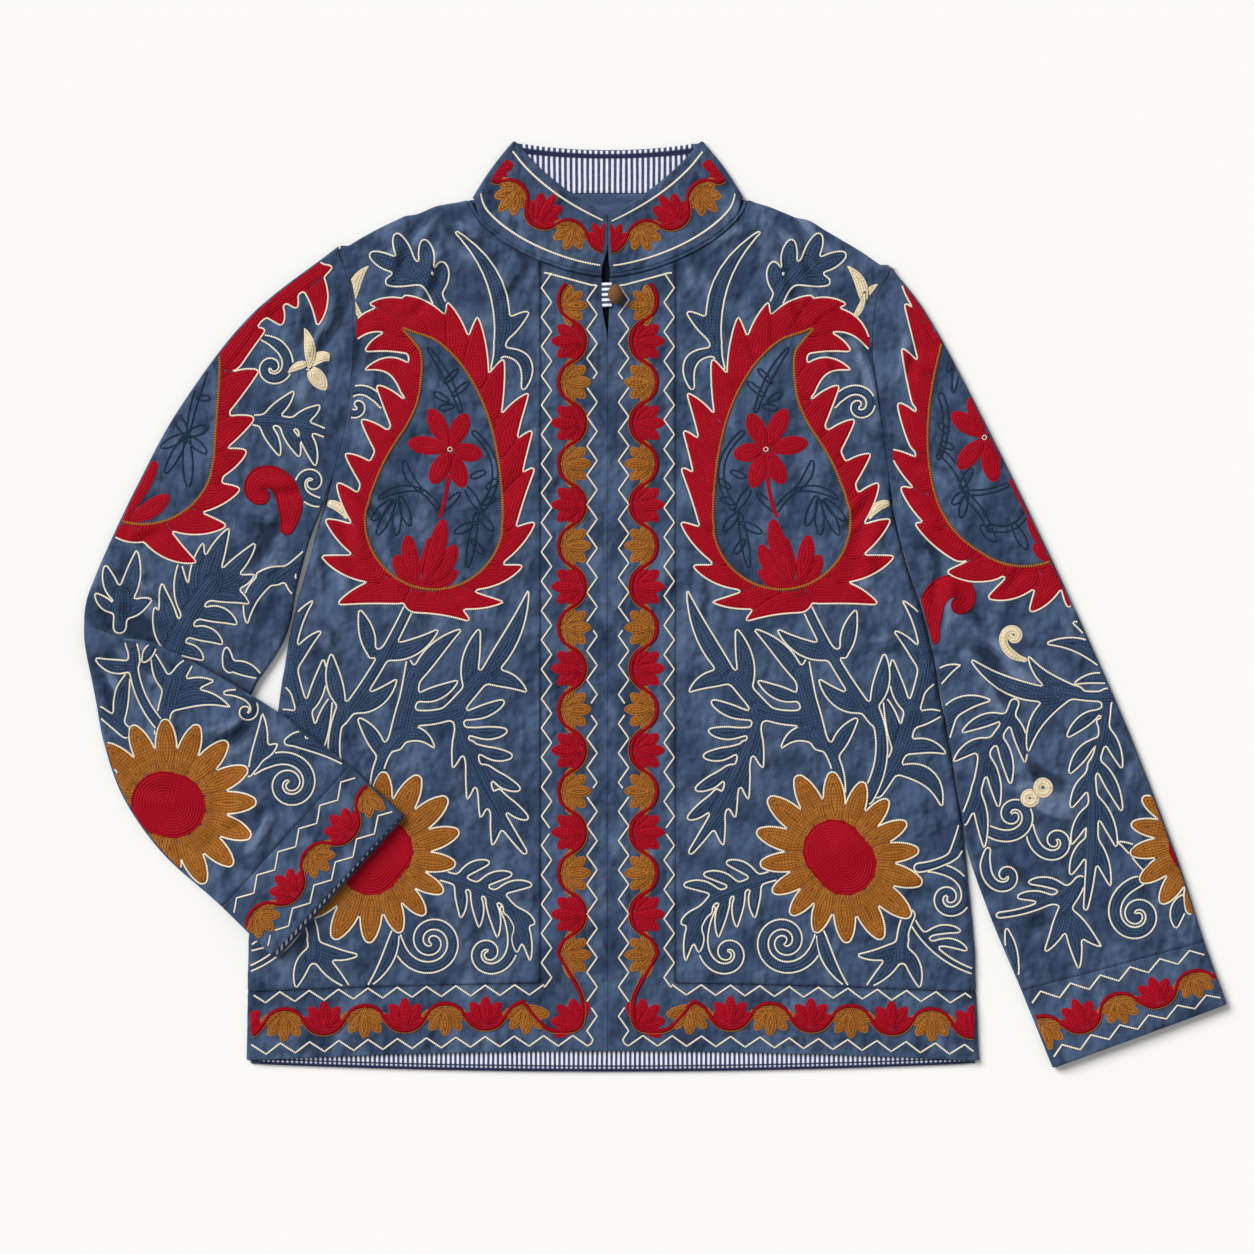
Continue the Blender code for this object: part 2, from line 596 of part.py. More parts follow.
def piping(side):
    """The round piping in the neck seam, between the collar and the front."""
    reach = NECK_POINT[0] - COLLAR_SHRINK / 2
    f = np.linspace(0, 0.97, 26)
    x = reach * np.sin(np.pi / 2 * f)
    x[0] = slit_edge(side, 0.592)
    y = neck_seam(x, COLLAR_SHRINK / 2)
    middle = np.stack([x, y], axis=1)
    along = np.gradient(middle, axis=0)
    along = along / np.hypot(along[:, 0], along[:, 1])[:, None]
    turn = np.linspace(0, 2 * np.pi, 8, endpoint=False)[None, :]
    across = PIPING / 2 * np.cos(turn)
    x = middle[:, :1] - along[:, 1:] * across
    y = middle[:, 1:] + along[:, :1] * across
    rings = stack(SIGN[side] * x, y, TOP - 0.0008 + PIPING / 2 * np.sin(turn))
    return rod(f"neck_piping_{side}", rings, velvet)


for side in SIGN:
    piping(side)


# Closure: a ball of wound cord on a shank, and the striped tab that holds it

def button():
    """The ball button, with its shank under it."""
    radius, flat = BUTTON["radius"], BUTTON["flatness"]
    profile = [(BUTTON["shank"], BUTTON["foot"])]
    for degrees in (-68, -50, -30, -10, 10, 30, 50, 70, 83):
        lift = BUTTON["centre"] + radius * flat * math.sin(math.radians(degrees))
        profile.append((radius * math.cos(math.radians(degrees)), lift))
    turn = np.linspace(0, 2 * np.pi, 16, endpoint=False)
    rings = [
        stack(BUTTON_AT[0] + size * np.cos(turn), BUTTON_AT[1] + size * np.sin(turn), height)
        for size, height in profile
    ]
    return rod("button", rings, button_cord)


button()

tab_y = np.linspace(LOOP["bottom"], LOOP["top"], 7)[:, None]
tab_start = LOOP["inset"] - slit_edge("right", tab_y)
tab_x = tab_start + np.linspace(0, 1, 7)[None, :] * (LOOP["to"] - tab_start)
tab_top = 0.0056 + 0.0018 * smoothstep(-0.0046, -0.0002, tab_x)
wall("button_loop", stack(tab_x, tab_y, tab_top), stack(tab_x, tab_y, tab_top - LOOP["cloth"]), striped_cotton)


# Centre the jacket on the origin

corners = np.array([list(v.co) for o in bpy.data.objects for v in o.data.vertices])
low, high = corners.min(axis=0), corners.max(axis=0)
shift = Vector((-(low[0] + high[0]) / 2, -(low[1] + high[1]) / 2, -low[2]))
for thing in bpy.data.objects:
    thing.data.transform(Matrix.Translation(shift))
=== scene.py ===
import math

import bpy
import numpy as np
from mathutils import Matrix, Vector
from mathutils.bvhtree import BVHTree


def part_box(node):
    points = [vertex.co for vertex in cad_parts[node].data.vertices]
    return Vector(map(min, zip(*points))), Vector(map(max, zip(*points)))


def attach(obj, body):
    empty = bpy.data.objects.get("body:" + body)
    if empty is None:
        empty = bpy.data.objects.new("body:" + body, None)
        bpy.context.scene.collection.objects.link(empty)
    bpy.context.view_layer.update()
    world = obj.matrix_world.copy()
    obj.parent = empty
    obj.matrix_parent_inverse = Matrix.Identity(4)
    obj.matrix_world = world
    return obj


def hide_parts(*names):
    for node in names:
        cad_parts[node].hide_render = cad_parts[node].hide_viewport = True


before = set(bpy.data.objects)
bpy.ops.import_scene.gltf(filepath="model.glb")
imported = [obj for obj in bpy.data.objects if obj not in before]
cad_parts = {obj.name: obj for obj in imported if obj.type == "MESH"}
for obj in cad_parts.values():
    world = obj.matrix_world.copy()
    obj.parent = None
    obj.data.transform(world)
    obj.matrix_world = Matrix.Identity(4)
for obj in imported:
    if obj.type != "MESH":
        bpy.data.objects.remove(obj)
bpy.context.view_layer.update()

# Back
# One panel of blue velvet over a thin lining, flat on the surface, from the hem to the neck and shoulders.
# The garment is drawn with x = 0 on the centre front and y = 0 at the front hem, and moved to the frame.

CLOTH = 0.0022
LINING = 0.0006
SEAM_GAP = 0.0003
TOP = 0.0060
NECK_POINT = (0.1065, 0.6506)
SHOULDER_POINT = {"right": (0.205, 0.612), "left": (0.214, 0.597)}
UNDERARM = 0.420
BACK_HEM = {"centre": -0.012, "side": -0.006}
BACK_NECK = 0.6560
BACK_INSET = 0.0037
SHOULDER_SWELL = 0.006
HEM_REACH = 0.275
BUTTON_AT = (0.0057, 0.5785)
SIGN = {"right": -1.0, "left": 1.0}
# height above the hem, half width on the wearer's right, half width on the left
SIDE_SECTIONS = (
    (-0.020, 0.2750, 0.2830),
    (0.000, 0.2750, 0.2825),
    (0.097, 0.2730, 0.2780),
    (0.200, 0.2600, 0.2660),
    (0.320, 0.2420, 0.2435),
    (0.400, 0.2210, 0.2200),
    (0.473, 0.2010, 0.2090),
    (0.530, 0.1940, 0.2010),
    (0.575, 0.1945, 0.2040),
    (0.600, 0.2005, 0.2150),
    (0.625, 0.2080, 0.2200),
)

button_low, button_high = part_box("button")
shift = (button_low + button_high) / 2 - Vector((*BUTTON_AT, 0))
shift.z = 0


def smoothstep(low, high, value):
    """0 below low, 1 above high, and a smooth rise between them."""
    share = np.clip((value - low) / (high - low), 0.0, 1.0)
    return share * share * (3.0 - 2.0 * share)


def spline(rows, at):
    """Points on a Catmull-Rom curve through the rows, where at counts rows from 0."""
    rows = np.asarray(rows, float)
    padded = np.vstack([2 * rows[0] - rows[1], rows, 2 * rows[-1] - rows[-2]])
    at = np.clip(np.asarray(at, float), 0, len(rows) - 1)
    first = np.minimum(at.astype(int), len(rows) - 2)
    t = (at - first)[..., None]
    a, b, c, d = (padded[first + k] for k in range(4))
    return b + 0.5 * t * (c - a + t * (2 * a - 5 * b + 4 * c - d + t * (3 * (b - c) + d - a)))


side_curve = spline(SIDE_SECTIONS, np.linspace(0, len(SIDE_SECTIONS) - 1, 400))


def half_width(side, y):
    """How far the side of the body lies from the centre front at height y."""
    return np.interp(y, side_curve[:, 0], side_curve[:, 1 if side == "right" else 2])


def shoulder_line(side, x):
    """Height of the shoulder at a distance x from the centre; it swells above a straight line."""
    end_x, end_y = SHOULDER_POINT[side]
    share = np.clip((x - NECK_POINT[0]) / (end_x - NECK_POINT[0]), 0, 1)
    return NECK_POINT[1] + share * (end_y - NECK_POINT[1]) + SHOULDER_SWELL * np.sin(np.pi * share)


def hem_line(hem, x):
    """Height of a hem at a distance x from the centre."""
    return hem["centre"] + (hem["side"] - hem["centre"]) * (x / HEM_REACH) ** 2


def back_neck(x):
    """Height of the back neck seam."""
    return BACK_NECK + (NECK_POINT[1] - BACK_NECK) * (x / NECK_POINT[0]) ** 2


def side_roll(y):
    """1 where the side seam rolls under, 0 along the armhole."""
    return 1 - smoothstep(UNDERARM - 0.012, UNDERARM + 0.028, y)


def shoulder_roll(x):
    """1 along the shoulder, 0 along the neck."""
    return smoothstep(NECK_POINT[0] - 0.003, NECK_POINT[0] + 0.006, x)


def stack(x, y, z):
    """One grid of points from three arrays that broadcast together."""
    return np.stack(np.broadcast_arrays(x, y, z), axis=-1)


def grid_faces(rows, columns, around=False):
    """Corner numbers of the faces of a grid of points."""
    r, c = np.meshgrid(np.arange(rows - 1), np.arange(columns if around else columns - 1), indexing="ij")
    d = (c + 1) % columns
    low, high = r * columns, (r + 1) * columns
    return np.stack([low + c, low + d, high + d, high + c], -1).reshape(-1, 4)


def faces_of(grid, way, around=False):
    """The faces of a grid of points; way is 1 or -1, for the side that faces out."""
    return grid_faces(*grid.shape[:2], around)[:, :: int(way)]


def make_piece(name, points, faces, finish, slot, values=None):
    """A smooth mesh on the root body, from points in the garment's own frame and values at them."""
    mesh = bpy.data.meshes.new(name)
    points = np.asarray(points, float).reshape(-1, 3) + np.array(shift)
    mesh.from_pydata(points.tolist(), [], faces if isinstance(faces, list) else faces.tolist())
    for key, numbers in (values or {}).items():
        layer = mesh.attributes.new(key, "FLOAT", "POINT")
        layer.data.foreach_set("value", np.asarray(numbers, np.float32).ravel())
    mesh.materials.append(finish)
    mesh.shade_smooth()
    made = bpy.data.objects.new(name, mesh)
    bpy.context.scene.collection.objects.link(made)
    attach(made, "root")
    return made


def in_velvet(name, points, faces, light_and_shade):
    """A piece of velvet, with the light and shade painted into its colour given at its points: 0.5 for none,
    higher for painted highlight, lower for painted shade.
    """
    return make_piece(name, points, faces, velvet.material, "velvet", {"light_and_shade": light_and_shade})


class Shade:
    """A socket of a finish; arithmetic on it adds the nodes that work it out."""

    def __init__(self, finish, socket):
        self.finish = finish
        self.socket = socket

    def math(self, operation, *values):
        return self.finish.node("ShaderNodeMath", {"operation": operation}, dict(enumerate(values)))

    def __add__(self, other):
        return self.math("ADD", self, other)

    def __sub__(self, other):
        return self.math("SUBTRACT", self, other)

    def __rsub__(self, other):
        return self.math("SUBTRACT", other, self)

    def __mul__(self, other):
        return self.math("MULTIPLY", self, other)

    def sine(self):
        return self.math("SINE", self)

    def step(self, low, high):
        """0 below low, 1 above high, smooth between."""
        values = {"Value": self, "From Min": low, "From Max": high}
        return self.finish.node("ShaderNodeMapRange", {"interpolation_type": "SMOOTHSTEP"}, values)


class Finish:
    """A cloth's material: one Principled shader and the nodes that feed it."""

    def __init__(self, name, roughness=0.85, sheen=0.0, sheen_tint=(1, 1, 1), sheen_roughness=0.4):
        self.material = bpy.data.materials.new(name)
        self.material.use_nodes = True
        self.tree = self.material.node_tree
        self.shader = self.tree.nodes["Principled BSDF"]
        self.shader.inputs["Roughness"].default_value = roughness
        self.shader.inputs["Specular IOR Level"].default_value = 0.12
        self.shader.inputs["Sheen Weight"].default_value = sheen
        self.shader.inputs["Sheen Tint"].default_value = (*sheen_tint, 1)
        self.shader.inputs["Sheen Roughness"].default_value = sheen_roughness

    def node(self, kind, settings=None, values=None, output=0):
        made = self.tree.nodes.new(kind)
        for key, value in (settings or {}).items():
            setattr(made, key, value)
        for key, value in (values or {}).items():
            if isinstance(value, Shade):
                self.tree.links.new(value.socket, made.inputs[key])
            else:
                made.inputs[key].default_value = value
        return Shade(self, made.outputs[output])

    def noise(self, size, detail=3.0, stretch=(1, 1, 1), roughness=0.55):
        """Cloudy values from 0 to 1 whose lumps are about size metres across."""
        place = self.node("ShaderNodeTexCoord", output="Object")
        place = self.node("ShaderNodeVectorMath", {"operation": "MULTIPLY"}, {0: place, 1: stretch})
        values = {"Vector": place, "Scale": 1 / size, "Detail": detail, "Roughness": roughness}
        return self.node("ShaderNodeTexNoise", values=values)

    def value(self, name):
        """A number stored at the mesh's points."""
        return self.node("ShaderNodeAttribute", {"attribute_name": name}, output="Fac")

    def mix(self, share, first, second):
        """Colours first to second by share."""
        values = {0: share, 6: first, 7: second}
        return self.node("ShaderNodeMix", {"data_type": "RGBA"}, values, output=2)

    def feed(self, **sockets):
        """Link values to the shader's sockets, named with _ for a space."""
        for key, value in sockets.items():
            self.tree.links.new(value.socket, self.shader.inputs[key.replace("_", " ")])

    def bump(self, height, distance, strength=1.0):
        """Raise the surface by height times distance metres."""
        values = {"Height": height, "Distance": distance, "Strength": strength}
        self.feed(Normal=self.node("ShaderNodeBump", values=values, output="Normal"))


def tint(red, green, blue):
    """A colour named by its 0 to 255 values on a screen, as the linear colour that a shader takes."""
    shares = [v / 255 for v in (red, green, blue)]
    return (*[v / 12.92 if v <= 0.04045 else ((v + 0.055) / 1.055) ** 2.4 for v in shares], 1.0)


velvet = Finish("crushed velvet", 0.9, sheen=0.10, sheen_tint=(0.55, 0.68, 0.95), sheen_roughness=0.45)
patches = velvet.noise(0.034, 4.0, roughness=0.62).step(0.34, 0.66)
highlight_streaks = velvet.noise(0.014, 3.0, (1.0, 0.5, 1.0), 0.5).step(0.46, 0.74)
shadowed = velvet.noise(0.019, 3.0, (0.6, 1.0, 1.0), 0.5).step(0.48, 0.74)
pucker = velvet.noise(0.021, 2.0, (1.0, 0.65, 1.0)) + velvet.noise(0.010, 1.0) * 0.30
nap = velvet.noise(0.0011, 2.0)
light_and_shade = velvet.value("light_and_shade")
shade = velvet.mix(patches, tint(47, 63, 90), tint(70, 89, 119))
# the next two mixes paint shade in soft blotches and highlight streaks over the crushed pile
shade = velvet.mix(shadowed * 0.68, shade, tint(33, 47, 70))
shade = velvet.mix(highlight_streaks * 0.58, shade, tint(98, 117, 147))
# painted shade in troughs, beside seams and along the forearm's edge, painted highlight on ridges, and near
# black painted shadow in the opening below the collar
shade = velvet.mix((0.5 - light_and_shade).step(0.04, 0.50) * 0.85, shade, tint(28, 40, 61))
shade = velvet.mix((light_and_shade - 0.5).step(0.04, 0.50) * 0.55, shade, tint(122, 141, 171))
shade = velvet.mix((0.0 - light_and_shade).step(0.30, 1.0), shade, tint(8, 11, 17))
shade = velvet.mix(nap.step(0.35, 0.75) * 0.18, shade, tint(36, 50, 73))
velvet.feed(Base_Color=shade)
velvet.bump(pucker + nap * 0.03 + highlight_streaks * 0.04, 0.011, 1.0)


def back_half(side):
    """x and y of the points of half the back, from the centre out."""
    end_y = SHOULDER_POINT[side][1] - BACK_INSET
    top_reach = half_width(side, end_y)
    under_neck, at_neck_point = np.linspace(0, 0.098, 14), np.linspace(0.1005, 0.114, 8)
    s = np.concatenate([under_neck, at_neck_point, np.linspace(0.122, top_reach, 12)])[None, :] / top_reach
    t = np.linspace(0, 1, 70)[:, None]
    low = hem_line(BACK_HEM, s * half_width(side, 0.0))
    side_y = low[:, -1:] + t * (end_y - low[:, -1:])
    x = s * (half_width(side, side_y) - BACK_INSET * side_roll(side_y) ** 0.4)
    last = x[-1:]
    amount = shoulder_roll(last)
    over = shoulder_line(side, last) - BACK_INSET * amount**0.4
    top = (1 - amount) * (back_neck(last) - SEAM_GAP) + amount * over
    return x, low + t * (top - low)


halves = {side: back_half(side) for side in SIGN}
back_x = np.concatenate([-halves["right"][0][:, :0:-1], halves["left"][0]], axis=1)
back_y = np.concatenate([halves["right"][1][:, :0:-1], halves["left"][1]], axis=1)


def closed_wall(outer, inner, bulge=0.0005):
    """Points and faces of cloth between two skins, with a rounded edge all round."""
    rows, columns = outer.shape[:2]
    count = rows * columns
    rim = [(0, c) for c in range(columns)] + [(r, columns - 1) for r in range(1, rows)]
    rim += [(rows - 1, c) for c in range(columns - 2, -1, -1)] + [(r, 0) for r in range(rows - 2, 0, -1)]
    r, c = np.array(rim).T
    away = outer[r, c] - outer[np.clip(r, 1, rows - 2), np.clip(c, 1, columns - 2)]
    away = away / np.maximum(np.linalg.norm(away, axis=1, keepdims=True), 1e-9)
    middle = (outer[r, c] + inner[r, c]) / 2 + bulge * away
    edge = r * columns + c
    edge_after = np.roll(edge, -1)
    here = 2 * count + np.arange(len(rim))
    after = np.roll(here, -1)
    skin = grid_faces(rows, columns)
    upper = np.stack([edge_after, edge, here, after], 1)
    lower = np.stack([after, here, count + edge, count + edge_after], 1)
    points = np.vstack([outer.reshape(-1, 3), inner.reshape(-1, 3), middle])
    return points, np.vstack([skin, skin[:, ::-1] + count, upper, lower])


def slit_shadow(points):
    """From 0 to 1: how much near black painted shadow each point takes in the opening below the collar."""
    x, y = points[:, 0], points[:, 1]
    return np.exp(-((x / 0.016) ** 4)) * smoothstep(0.47, 0.52, y) * (y < 0.625)


points, faces = closed_wall(stack(back_x, back_y, CLOTH), stack(back_x, back_y, 0.0))
# the back is painted near black, as shadow, where it shows in the opening below the collar
back = in_velvet("back_cloth", points, faces, 0.5 - 1.6 * slit_shadow(points))
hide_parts("back")

# Hem lining
# A strip of white and navy striped cotton inside the back's hem, turned under to a navy edge.
# It lies on the inside of the back and shows below the fronts.


def striped(name, axis, pitch, wobble=0.0):
    """Cotton in white and navy stripes that follow each other along one axis."""
    finish = Finish(name, roughness=0.8, sheen=0.08)
    weave = finish.noise(0.0009, 2.0)
    drift = finish.noise(0.030, 2.0)
    place = finish.node("ShaderNodeTexCoord", output="Object")
    across = finish.node("ShaderNodeSeparateXYZ", values={0: place}, output=axis)
    turn = (across + (drift - 0.5) * wobble) * (2 * math.pi / pitch)
    colour = finish.mix(turn.sine().step(-0.10, 0.30), tint(44, 49, 82), tint(236, 240, 252))
    colour = finish.mix(weave.step(0.3, 0.7) * 0.22, colour, tint(150, 156, 180))
    finish.feed(Base_Color=finish.mix(finish.value("edge"), colour, tint(36, 41, 72)))
    finish.bump(weave, 0.0002, 0.5)
    return finish


def lining_wall(x, y, ripple=0.0):
    """A thin strip of cloth on the inside of the velvet."""
    low = CLOTH + SEAM_GAP
    return closed_wall(stack(x, y, low + LINING + ripple), stack(x, y, low), 0.0002)


def on_both_skins(values, points, rim):
    """Values for the points of a closed wall: the same on both skins, and one value along the rim."""
    values = values.ravel()
    return np.concatenate([values, values, np.full(len(points) - 2 * len(values), rim)])


def in_cotton(name, points, faces, cotton, edge):
    """A piece of striped cotton; edge is 1 where it is plain navy."""
    return make_piece(name, points, faces, cotton.material, "striped_cotton", {"edge": edge})


hem_cotton = striped("striped hem cotton", 0, 0.0036, 0.0006)
share = np.linspace(-1, 1, 180)[None, :]
strip_x = share * (np.where(share < 0, half_width("right", 0.0), half_width("left", 0.0)) - 0.010)
rise = np.array([0.0003, 0.0016, 0.0030, 0.0036, 0.0042, 0.0050, 0.010, 0.018, 0.026, 0.032])[:, None]
strip_y = hem_line(BACK_HEM, strip_x) + rise
strip_edge = ((rise < 0.0022) | ((rise > 0.0032) & (rise < 0.0046))) * np.ones_like(strip_x)
points, faces = lining_wall(strip_x, strip_y)
strip_edge = on_both_skins(strip_edge, points, 1.0)
hem_strip = in_cotton("hem_lining_cloth", points, faces, hem_cotton, strip_edge)
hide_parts("hem_lining")

# Neck facing
# Plain dark blue cloth inside the back neck, below the collar's lining.
# It is sewn into the neck seam and lies on the back.

FACING_REACH = 0.052
FACING_LOW = 0.600
facing = Finish("plain facing cloth", roughness=0.85, sheen=0.1, sheen_tint=(0.6, 0.7, 0.95))
weave = facing.noise(0.0008, 2.0)
worn = facing.noise(0.012, 3.0, (0.5, 1.6, 1.0))
shade = facing.mix(worn.step(0.3, 0.7), tint(56, 72, 100), tint(78, 96, 126))
shade = facing.mix(weave.step(0.3, 0.7) * 0.2, shade, tint(38, 50, 76))
# near black painted shadow where the facing shows in the opening below the collar
facing.feed(Base_Color=facing.mix(facing.value("painted_slit_shadow"), shade, tint(8, 11, 17)))
facing.bump(weave * 0.3 + worn, 0.0006, 0.5)
facing_x = np.linspace(-FACING_REACH, FACING_REACH, 40)[None, :]
facing_low = FACING_LOW + 0.012 * (facing_x / FACING_REACH) ** 2
facing_y = facing_low + np.linspace(0, 1, 24)[:, None] * (back_neck(facing_x) - SEAM_GAP - facing_low)
gathers = np.sin((facing_y - 0.0006 * np.sin(facing_x * 90)) * 900)
points, faces = lining_wall(facing_x, facing_y, 0.00025 * gathers * smoothstep(0.632, 0.646, facing_y))
painted_slit_shadow = {"painted_slit_shadow": slit_shadow(points)}
neck_facing = make_piece("neck_facing_cloth", points, faces, facing.material, "facing", painted_slit_shadow)
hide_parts("neck_facing")

# Fronts
# The main panel of each front: velvet on a thin lining, sewn to the border and rolled over at the side.
# Soft creases fan out from the neck and armholes, with painted highlight on their ridges and painted shade in
# their troughs.

FRONT_HEM = {"centre": 0.004, "side": -0.003}
NECK_DROP = 0.0590
NECK_SHAPE = 1.6
BORDER = 0.0513
NARROW = 7
FOLD_SHADE = 300
CRUSH_SHADE = 200
# x and y of each end, height and half width, in millimetres; the first nine are the solid's own
BODY_FOLDS = (
    (-118, 638, -150, 560, 1.2, 9), (-90, 606, -100, 520, 0.9, 10), (112, 636, 150, 560, 1.2, 9),
    (88, 602, 104, 520, 0.9, 10), (-182, 590, -180, 470, 1.1, 10), (190, 575, 190, 460, 1.1, 10),
    (232, 330, 180, 250, 0.9, 12), (-220, 355, -175, 310, 0.9, 12), (255, 190, 170, 150, 0.8, 13),
    (-104, 650, -200, 608, 1.4, 5), (-100, 632, -178, 588, 1.5, 5), (-108, 628, -166, 556, -2, 4),
    (-74, 608, -82, 560, -1.7, 4), (-126, 640, -188, 570, -1.7, 4), (104, 650, 205, 600, 1.4, 5),
    (100, 632, 182, 582, 1.5, 5), (108, 628, 170, 552, -2, 4), (72, 608, 84, 556, -1.7, 4),
    (128, 640, 192, 566, -1.7, 4), (-194, 575, -188, 490, -2, 4.5), (-172, 560, -170, 500, -1.2, 4),
    (200, 565, 196, 480, -2, 4.5), (178, 550, 176, 490, -1.2, 4), (-212, 430, -150, 402, -1.9, 4.5),
    (-212, 424, -170, 370, 1.7, 6), (212, 430, 156, 398, -1.9, 4.5), (214, 422, 176, 366, 1.7, 6),
    (238, 330, 190, 300, -1.5, 5), (-236, 330, -190, 306, -1.5, 5), (262, 230, 200, 214, -1.4, 5),
    (-120, 60, -128, 150, -1, 6), (150, 58, 158, 140, -1, 6), (226, 58, 222, 120, -1, 5),
    (-230, 58, -226, 110, -1, 5), (66, 617, 108, 640, -1.8, 4.5), (70, 608, 116, 631, 1.6, 5.5),
    (62, 610, 54, 572, 1.2, 5), (-72, 617, -60, 584, -1.5, 4.5), (-86, 618, -132, 634, -1.8, 4.5),
    (-84, 608, -124, 616, 1.4, 5.5), (206, 560, 196, 440, -1.8, 6), (-200, 570, -196, 450, -1.8, 6),
    (210, 408, 170, 336, 1.4, 6.5), (246, 300, 212, 210, -1.3, 6.5), (-226, 400, -190, 330, 1.4, 6.5),
    (262, 140, 216, 112, -1.3, 6), (70, 400, 112, 330, -1.1, 6.5), (-66, 470, -100, 390, -1.1, 6.5),
    (-64, 200, -110, 240, -1.2, 6.5), (66, 230, 100, 180, 1.2, 6.5),
)


def neck_seam(x, shrink=0.0):
    """Height of the front neck curve at a distance x from the centre, moved up and in by shrink."""
    reach, drop = NECK_POINT[0] - shrink, NECK_DROP - shrink
    share = np.clip(1 - (np.abs(x) / reach) ** NECK_SHAPE, 0, 1)
    return NECK_POINT[1] - drop * share ** (1 / NECK_SHAPE)


def slit_edge(side, y):
    """Half the gap between the front edges: shut below, open under the collar, shut at its top."""
    opened = smoothstep(0.540, 0.575, y) * (1 - smoothstep(0.596, 0.618, y))
    return 0.0004 + ({"right": 0.0050, "left": 0.0015}[side] - 0.0004) * opened


def near(distance, reach):
    """1 on a line, and a soft fall to 0 away from it."""
    return np.exp(-((distance / reach) ** 2))


def folds(table, x, y):
    """Height that the creases in a table add at x, y; each is a ridge or trough that fades at its ends."""
    total = np.zeros(np.broadcast(x, y).shape)
    for row in table:
        x1, y1, x2, y2, height, half = (0.001 * number for number in row)
        run = np.hypot(x2 - x1, y2 - y1)
        along = ((x - x1) * (x2 - x1) + (y - y1) * (y2 - y1)) / run**2
        sway = 0.12 * run * np.sin(np.pi * along * 1.3 + 40 * x1)
        across = ((x - x1) * (y2 - y1) - (y - y1) * (x2 - x1)) / run
        narrow = row[5] < NARROW
        across = across / half - sway / half * narrow
        shape = near(across, 1.0) - 0.6 * narrow * near(across - 1.8, 1.0)
        total = total + height * np.sin(np.pi * np.clip(along, 0, 1)) ** 2 * shape
    return total


def lumps(x, y, size, seed):
    """Smooth random heights from -1 to 1 with lumps of one size."""
    x, y = np.broadcast_arrays(x / size, y / size)
    i, j = np.floor(x), np.floor(y)
    u, v = x - i, y - j
    u, v = u * u * (3 - 2 * u), v * v * (3 - 2 * v)

    def corner(di, dj):
        spun = np.sin((i + di) * 127.1 + (j + dj) * 311.7 + seed * 74.7) * 43758.5453
        return 2 * (spun - np.floor(spun)) - 1

    low_side = corner(0, 0) * (1 - u) + corner(1, 0) * u
    high_side = corner(0, 1) * (1 - u) + corner(1, 1) * u
    return low_side * (1 - v) + high_side * v


def crush(x, y):
    """The fine unevenness of a soft pile cloth that has been folded away and smoothed out."""
    wide = 0.42 * lumps(x, y, 0.045, 1) + 0.38 * lumps(x + 0.3 * y, y - 0.2 * x, 0.021, 2)
    return 0.001 * (wide + 0.20 * lumps(x - 0.4 * y, y + 0.4 * x, 0.0095, 3))


def border_seam(x, y, reach, above_corner):
    """1 on the seam along the inner edge of the border, which turns at the corner."""
    along_hem = near(y - hem_line(FRONT_HEM, x) - BORDER, reach) * (np.abs(x) > BORDER)
    return near(np.abs(x) - BORDER, reach) * above_corner + along_hem


def front_height(x, y):
    """Outer face of the fronts."""
    rise = 0.0006 * near(np.abs(x) - 0.12, 0.07) * smoothstep(0.05, 0.30, y)
    seams = border_seam(x, y, 0.0016, smoothstep(0.052, 0.056, y))
    return TOP + rise + folds(BODY_FOLDS, x, y) + crush(x, y) - 0.0005 * seams


def body_light_and_shade(x, y):
    """Painted light and shade over the fronts: 0.5 for none, higher for painted highlight on ridges, lower for
    painted shade in troughs, beside seams and along the neck.
    """
    narrow = [row for row in BODY_FOLDS if row[5] < NARROW]
    seams = border_seam(x, y, 0.0022, y > 0.055)
    neck = near(y - neck_seam(x), 0.0040) * (np.abs(x) < 0.1)
    pile = FOLD_SHADE * folds(narrow, x, y) + CRUSH_SHADE * crush(x, y)
    return 0.5 + pile - 0.32 * seams - 0.25 * neck


def roll_over(grid, reach, amount, axis, steps):
    """The points that carry the end of a grid over and down to the surface in a quarter turn."""
    made = []
    for k in range(1, steps + 1):
        turn = math.pi / 2 * k / steps
        moved = grid.copy()
        moved[..., axis] += amount * reach * math.sin(turn) + (1 - amount) * TOP * k / steps
        moved[..., 2] = amount * reach * math.cos(turn) + (1 - amount) * grid[..., 2]
        made.append(moved)
    return np.stack(made, axis=1)


def turned(edge, inside, free):
    """The points that carry the cloth's edge round its thickness; a seam's edge only goes down."""
    away = edge - inside
    away[..., 2] = 0
    away = away / np.maximum(np.linalg.norm(away, axis=-1, keepdims=True), 1e-9)
    steps = ((0.25, 0.15), (0.5, 0.6), (0.5, 1.2), (0.3, 1.8), (-0.2, 2.15), (-3.0, 2.2))
    if not free:
        steps = ((0.02, 0.25), (0.04, 0.9), (0.04, 2.2))
    return [edge + away * out * 0.001 - np.array([0, 0, down * 0.001]) for out, down in steps]


